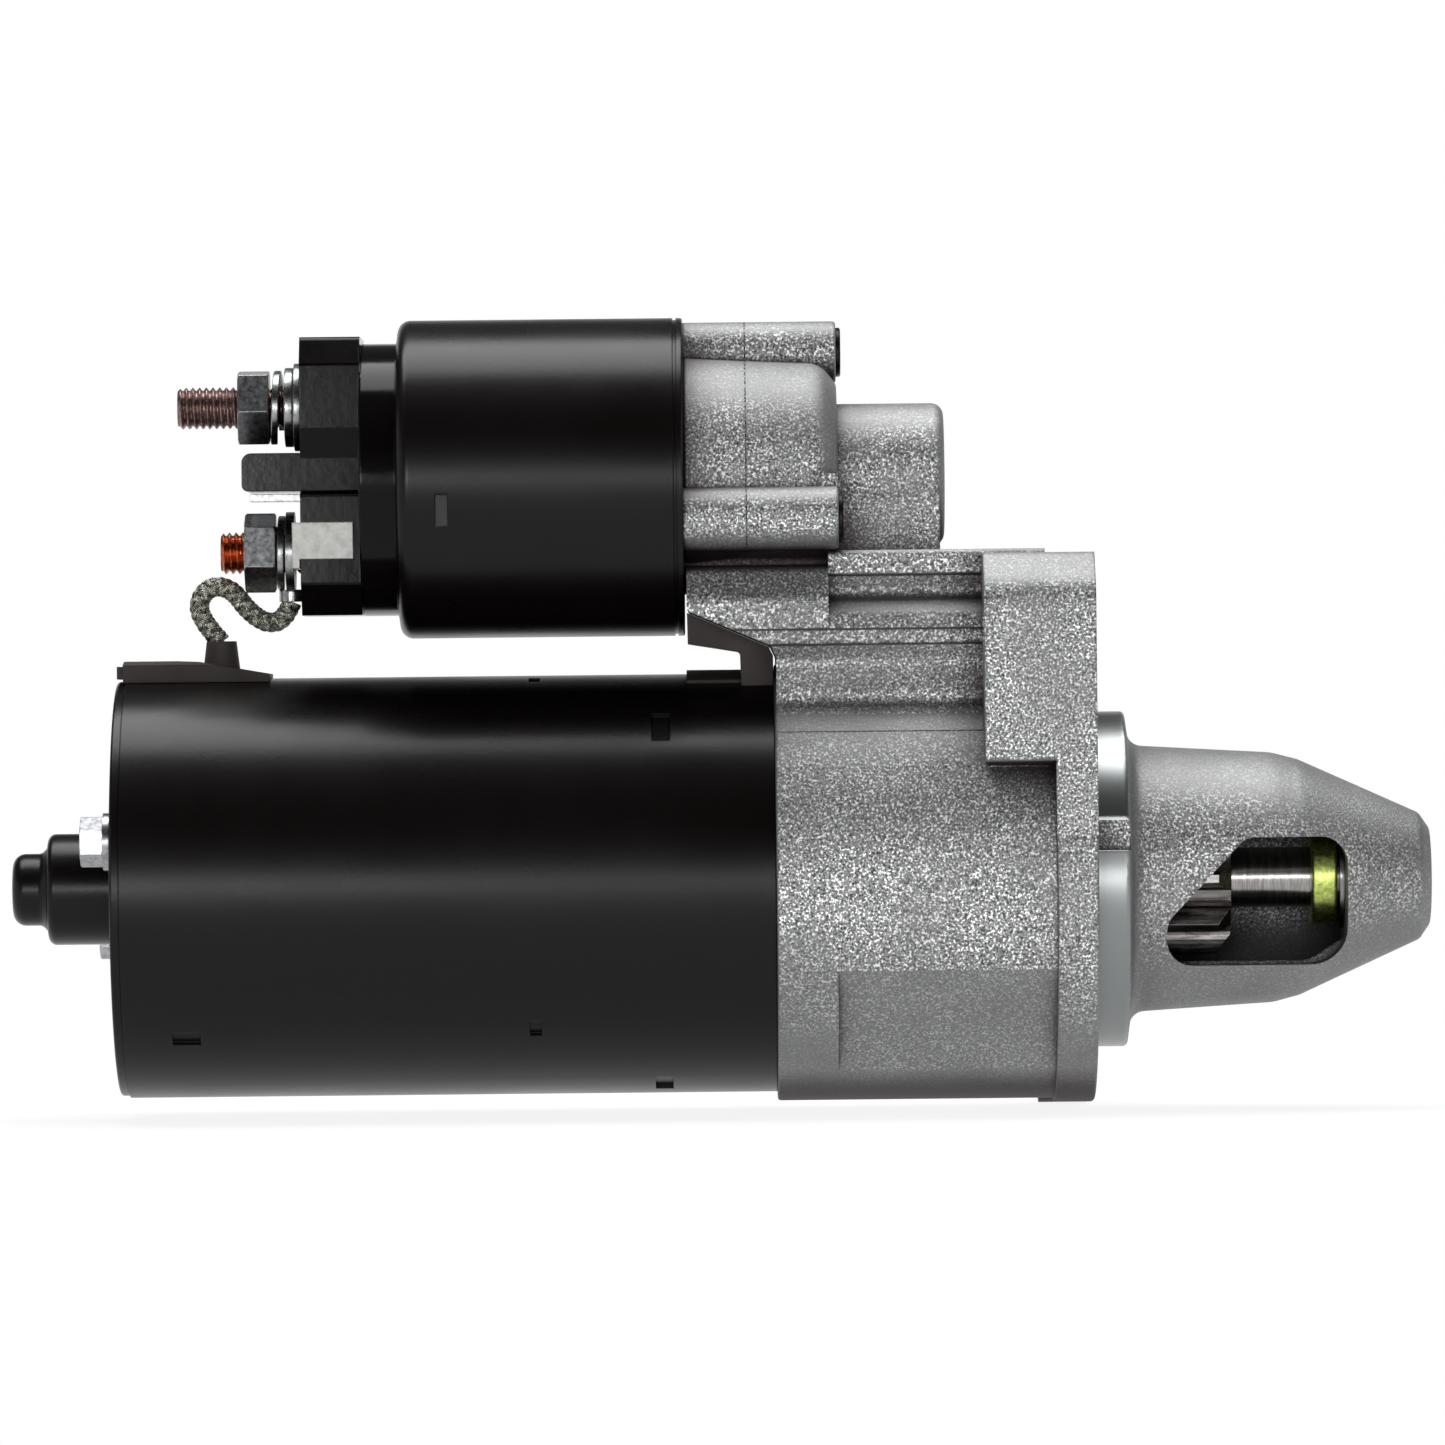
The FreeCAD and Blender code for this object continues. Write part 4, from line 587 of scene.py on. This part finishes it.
# %% Threads on the studs
PITCH = 1.25 * MM
THREAD_RADIUS = 3.9 * MM
THREAD_DEPTH = 0.62 * MM
ROWS_PER_TURN = 8
END_ROWS = 3
SIDES = 36
HEAD_RADIUS = 6.3 * MM
HEAD_THICK = 3.9 * MM
thread, size = start_tree("thread", ["Tip", "Length", "Axis height", "Outer radius", "Depth",
                                     "Pitch", "Number of rows"])
long_way = add(thread, "ShaderNodeMath", {"operation": "MULTIPLY_ADD"}, {
    0: size["Pitch"], 1: 0.5, 2: size["Length"]}).outputs[0]
sheet = add(thread, "GeometryNodeMeshGrid", inputs={
    "Size X": long_way, "Size Y": 2 * math.pi, "Vertices X": size["Number of rows"],
    "Vertices Y": SIDES + 1}).outputs["Mesh"]
at = add(thread, "ShaderNodeSeparateXYZ", inputs={
    0: add(thread, "GeometryNodeInputPosition").outputs[0]})
half_long = add(thread, "ShaderNodeMath", {"operation": "MULTIPLY"}, {
    0: size["Length"], 1: 0.5}).outputs[0]
less_half = add(thread, "ShaderNodeMath", {"operation": "MULTIPLY"}, {
    0: half_long, 1: -1.0}).outputs[0]
flat = add(thread, "ShaderNodeClamp", inputs={
    "Value": at.outputs["X"], "Min": less_half, "Max": half_long}).outputs[0]
from_tip = add(thread, "ShaderNodeMath", {"operation": "ADD"}, {0: flat, 1: half_long}).outputs[0]
climb = add(thread, "ShaderNodeMath", {"operation": "DIVIDE"}, {
    0: from_tip, 1: size["Pitch"]}).outputs[0]
turned_by = add(thread, "ShaderNodeMath", {"operation": "DIVIDE"}, {
    0: at.outputs["Y"], 1: 2 * math.pi}).outputs[0]
phase = add(thread, "ShaderNodeMath", {"operation": "SUBTRACT"}, {0: climb, 1: turned_by}).outputs[0]
ridge = add(thread, "ShaderNodeMath", {"operation": "PINGPONG"}, {0: phase, 1: 0.5}).outputs[0]
groove = add(thread, "ShaderNodeMapRange", inputs={
    "Value": ridge, "From Min": 0.06, "From Max": 0.44, "To Min": 0.0}).outputs[0]
cut = add(thread, "ShaderNodeMath", {"operation": "MULTIPLY"}, {
    0: groove, 1: size["Depth"]}).outputs[0]
radius = add(thread, "ShaderNodeMath", {"operation": "SUBTRACT"}, {
    0: size["Outer radius"], 1: cut}).outputs[0]
low_radius = add(thread, "ShaderNodeMath", {"operation": "SUBTRACT"}, {
    0: size["Outer radius"], 1: size["Depth"]}).outputs[0]
chamfer = add(thread, "ShaderNodeMath", {"operation": "ADD"}, {
    0: low_radius, 1: from_tip}).outputs[0]
radius = add(thread, "ShaderNodeMath", {"operation": "MINIMUM"}, {0: radius, 1: chamfer}).outputs[0]
beyond = add(thread, "ShaderNodeMath", {"operation": "ABSOLUTE"}, {0: at.outputs["X"]}).outputs[0]
inside = add(thread, "ShaderNodeMath", {"operation": "LESS_THAN"}, {
    0: beyond, 1: half_long}).outputs[0]
radius = add(thread, "ShaderNodeMath", {"operation": "MULTIPLY"}, {0: radius, 1: inside}).outputs[0]
side_to = add(thread, "ShaderNodeMath", {"operation": "COSINE"}, {0: at.outputs["Y"]}).outputs[0]
up_to = add(thread, "ShaderNodeMath", {"operation": "SINE"}, {0: at.outputs["Y"]}).outputs[0]
new_x = add(thread, "ShaderNodeMath", {"operation": "ADD"}, {0: from_tip, 1: size["Tip"]}).outputs[0]
new_y = add(thread, "ShaderNodeMath", {"operation": "MULTIPLY"}, {0: radius, 1: side_to}).outputs[0]
new_z = add(thread, "ShaderNodeMath", {"operation": "MULTIPLY_ADD"}, {
    0: radius, 1: up_to, 2: size["Axis height"]}).outputs[0]
spot = add(thread, "ShaderNodeCombineXYZ", inputs={"X": new_x, "Y": new_y, "Z": new_z}).outputs[0]
tube = add(thread, "GeometryNodeSetPosition", inputs={
    "Geometry": sheet, "Position": spot}).outputs[0]
closed = add(thread, "GeometryNodeMergeByDistance", inputs={
    "Geometry": tube, "Distance": 0.002 * MM}).outputs[0]
head_x = add(thread, "ShaderNodeMath", {"operation": "ADD"}, {
    0: size["Tip"], 1: size["Length"]}).outputs[0]
head_x = add(thread, "ShaderNodeMath", {"operation": "ADD"}, {
    0: head_x, 1: HEAD_THICK / 2}).outputs[0]
head_spot = add(thread, "ShaderNodeCombineXYZ", inputs={
    "X": head_x, "Z": size["Axis height"]}).outputs[0]
head = add(thread, "GeometryNodeMeshCylinder", inputs={
    "Vertices": 6, "Radius": HEAD_RADIUS, "Depth": HEAD_THICK}).outputs["Mesh"]
head = add(thread, "GeometryNodeTransform", inputs={
    "Geometry": head, "Translation": head_spot, "Rotation": (0, math.pi / 2, 0)}).outputs[0]
bolt = add(thread, "GeometryNodeJoinGeometry")
thread.links.new(closed, bolt.inputs[0])
thread.links.new(head, bolt.inputs[0])
end_tree(thread, bolt.outputs[0], brown_copper)


def threaded_stud(name, node, copper):
    """The whole stud with its thread, in place of the plain one."""
    low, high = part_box(node)
    long = high.x - HEAD_THICK - low.x
    stud = grown(name, thread, {
        "Tip": low.x, "Length": long, "Axis height": (low.z + high.z) / 2,
        "Outer radius": THREAD_RADIUS, "Depth": THREAD_DEPTH, "Pitch": PITCH,
        "Number of rows": int(long / PITCH * ROWS_PER_TURN) + END_ROWS})
    for slot in stud.material_slots:
        slot.material = copper
    smooth_by_angle(stud, 35)
    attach(stud, "housing")
    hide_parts(node)


threaded_stud("battery_stud_thread", "battery_stud", brown_copper)
threaded_stud("motor_stud_thread", "motor_stud", bright_copper)

# %% [markdown]
# ## Washers
# Under each nut sits a spring washer: one turn of square wire, cut and twisted, so that its ends
# stand apart. It is a short helix with a rounded rectangle for a section. A flat washer is the same
# section round a closed circle, so one tree makes both, and a switch chooses between them.

# %% Washers
HOLE = 4.1 * MM
CORNER = 0.22 * MM
STEPS_ROUND = 72
PART_OF_TURN = 0.965
washer, size = start_tree("washer", ["Outer radius", "Thickness", "Rise", "Turned by",
                                     "From the left", "Axis height"])
summed = add(washer, "ShaderNodeMath", {"operation": "ADD"}, {
    0: size["Outer radius"], 1: HOLE}).outputs[0]
middle = add(washer, "ShaderNodeMath", {"operation": "MULTIPLY"}, {0: summed, 1: 0.5}).outputs[0]
broad = add(washer, "ShaderNodeMath", {"operation": "SUBTRACT"}, {
    0: size["Outer radius"], 1: HOLE}).outputs[0]
section = add(washer, "GeometryNodeCurvePrimitiveQuadrilateral", inputs={
    "Width": broad, "Height": size["Thickness"]}).outputs[0]
section = add(washer, "GeometryNodeFilletCurve", {"mode": "POLY"}, {
    "Curve": section, "Count": 3, "Radius": CORNER}).outputs[0]
helix = add(washer, "GeometryNodeCurveSpiral", inputs={
    "Resolution": STEPS_ROUND, "Rotations": PART_OF_TURN, "Start Radius": middle, "End Radius": middle,
    "Height": size["Rise"]}).outputs[0]
ring = add(washer, "GeometryNodeCurvePrimitiveCircle", inputs={
    "Resolution": STEPS_ROUND, "Radius": middle}).outputs[0]
cut = add(washer, "ShaderNodeMath", {"operation": "GREATER_THAN"}, {
    0: size["Rise"], 1: 0.0}).outputs[0]
path = add(washer, "GeometryNodeSwitch", {"input_type": "GEOMETRY"}, {
    "Switch": cut, "False": ring, "True": helix}).outputs[0]
path = add(washer, "GeometryNodeSetCurveNormal", {"mode": "Z_UP"}, {0: path}).outputs[0]
swept = add(washer, "GeometryNodeCurveToMesh", inputs={
    "Curve": path, "Profile Curve": section, "Fill Caps": True}).outputs[0]
spun = add(washer, "ShaderNodeCombineXYZ", inputs={"Z": size["Turned by"]}).outputs[0]
swept = add(washer, "GeometryNodeTransform", inputs={
    "Geometry": swept, "Rotation": spun}).outputs[0]
spot = add(washer, "ShaderNodeCombineXYZ", inputs={
    "X": size["From the left"], "Z": size["Axis height"]}).outputs[0]
placed = add(washer, "GeometryNodeTransform", inputs={
    "Geometry": swept, "Translation": spot, "Rotation": (0, math.pi / 2, 0)}).outputs[0]
end_tree(washer, placed, zinc_washer)

battery_low, battery_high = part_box("battery_stud")
motor_low, motor_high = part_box("motor_stud")
battery_axis = (battery_low.z + battery_high.z) / 2
motor_axis = (motor_low.z + motor_high.z) / 2
stacks = [("battery_spring_washer", 6.9, 1.3, 1.5, 0.7, -151.85, battery_axis),
          ("battery_inner_washer", 7.4, 1.6, 0.0, 0.0, -148.8, battery_axis),
          ("battery_outer_washer", 8.2, 1.5, 0.0, 0.0, -147.15, battery_axis),
          ("motor_spring_washer", 6.9, 1.3, 0.5, 2.4, -150.85, motor_axis)]
for name, outer, thick, rise, turn, left, axis in stacks:
    piece = grown(name, washer, {
        "Outer radius": outer * MM, "Thickness": thick * MM, "Rise": rise * MM,
        "Turned by": turn, "From the left": left * MM, "Axis height": axis})
    smooth_by_angle(piece, 40)
    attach(piece, "housing")
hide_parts("terminal_washers")

# %% [markdown]
# ## Studio
# The motor lies on a plain white sweep. The floor and the world are white to the camera and to
# mirror-like reflections, while the light that falls on the motor comes from soft lamps and a dim
# sky. The studio's ceiling and the wall behind the camera are dark to reflections, or gloss paint
# would mirror white all over and look grey. The floor takes a faint shadow near the motor and
# turns pure white further off, so that its far edge can't be seen.

# %% Floor and world


def seen_directly(tree):
    """One where a ray comes from the camera or a reflection, and zero where it is soft light."""
    path = add(tree, "ShaderNodeLightPath")
    two = add(tree, "ShaderNodeMath", {"operation": "MAXIMUM"}, {
        0: path.outputs["Is Camera Ray"], 1: path.outputs["Is Glossy Ray"]}).outputs[0]
    return add(tree, "ShaderNodeMath", {"operation": "MAXIMUM"}, {
        0: two, 1: path.outputs["Is Transmission Ray"]}).outputs[0]


FLOOR_HALF = 3.0
FLOOR_SHADE = 0.12
SHADE_NEAR = 0.15
SHADE_FAR = 0.8
floor_height = cad_box[0][2] - 0.2 * MM
floor_mesh = bpy.data.meshes.new("floor")
floor_mesh.from_pydata([(x, y, floor_height) for x, y in (
    (-FLOOR_HALF, -FLOOR_HALF), (FLOOR_HALF, -FLOOR_HALF), (FLOOR_HALF, FLOOR_HALF),
    (-FLOOR_HALF, FLOOR_HALF))], [], [(0, 1, 2, 3)])
floor = bpy.data.objects.new("floor", floor_mesh)
bpy.context.scene.collection.objects.link(floor)
floor_paint, tree, shader = finish("white_sweep", "#f2f2f2", 0.0, 0.9)
white = add(tree, "ShaderNodeEmission", inputs={"Strength": 1.0}).outputs[0]
spot = add(tree, "ShaderNodeTexCoord").outputs["Object"]
distance = add(tree, "ShaderNodeVectorMath", {"operation": "LENGTH"}, {
    0: spot}).outputs["Value"]
whiteness = add(tree, "ShaderNodeMapRange", {"interpolation_type": "SMOOTHSTEP"}, {
    "Value": distance, "From Min": SHADE_NEAR, "From Max": SHADE_FAR,
    "To Min": 1 - FLOOR_SHADE}).outputs[0]
share = add(tree, "ShaderNodeMath", {"operation": "MULTIPLY"}, {
    0: seen_directly(tree), 1: whiteness}).outputs[0]
mixed = add(tree, "ShaderNodeMixShader", inputs={
    0: share, 1: shader.outputs[0], 2: white}).outputs[0]
tree.links.new(mixed, tree.nodes["Material Output"].inputs["Surface"])
floor_mesh.materials.append(floor_paint)

SKY = 0.3
CEILING = 0.1
WALL = 0.16
world = bpy.data.worlds.new("studio")
bpy.context.scene.world = world
world.use_nodes = True
sky_tree = world.node_tree
towards = add(sky_tree, "ShaderNodeTexCoord").outputs["Generated"]
direction = add(sky_tree, "ShaderNodeSeparateXYZ", inputs={0: towards})
below = add(sky_tree, "ShaderNodeMapRange", {"interpolation_type": "SMOOTHSTEP"}, {
    "Value": direction.outputs["Z"], "From Min": 0.14, "From Max": 0.46, "To Min": 1.0,
    "To Max": CEILING}).outputs[0]
behind = add(sky_tree, "ShaderNodeMapRange", {"interpolation_type": "SMOOTHSTEP"}, {
    "Value": direction.outputs["Y"], "From Min": -0.85, "From Max": -0.4, "To Min": WALL,
    "To Max": 1.0}).outputs[0]
room = add(sky_tree, "ShaderNodeMath", {"operation": "MULTIPLY"}, {0: below, 1: behind}).outputs[0]
camera_ray = add(sky_tree, "ShaderNodeLightPath").outputs["Is Camera Ray"]
shown = add(sky_tree, "ShaderNodeMath", {"operation": "MAXIMUM"}, {
    0: camera_ray, 1: room}).outputs[0]
strength = add(sky_tree, "ShaderNodeMix", {"data_type": "FLOAT"}, {
    0: seen_directly(sky_tree), 2: SKY, 3: shown}).outputs[0]
sky = sky_tree.nodes["Background"]
sky.inputs["Color"].default_value = (1, 1, 1, 1)
sky_tree.links.new(strength, sky.inputs["Strength"])
bpy.context.scene.view_settings.view_transform = "Standard"
print("floor at", round(floor_height / MM, 1), "mm")

# %% [markdown]
# ## Lamps
# Two lamps stand beside the camera for the soft band along the middle of each tube, and a broad
# one hangs overhead for the bright bands near the top.

# %% Lamps
target = Vector((-68 * MM, 0, 30 * MM))


def soft_lamp(name, place, width, height, power):
    """A rectangular lamp that faces the motor."""
    data = bpy.data.lights.new(name, "AREA")
    data.shape = "RECTANGLE"
    data.size = width
    data.size_y = height
    data.energy = power
    lamp = bpy.data.objects.new(name, data)
    bpy.context.scene.collection.objects.link(lamp)
    lamp.matrix_world = (Matrix.Translation(Vector(place))
                         @ (target - Vector(place)).to_track_quat("-Z", "Y").to_matrix().to_4x4())


soft_lamp("lamp_left", (-0.62, -2.25, 0.07), 0.7, 0.28, 12)
soft_lamp("lamp_right", (0.48, -2.25, 0.07), 0.7, 0.28, 12)
soft_lamp("lamp_overhead", (-0.07, 0.14, 1.1), 1.4, 0.66, 21)
print("lamps: 3")
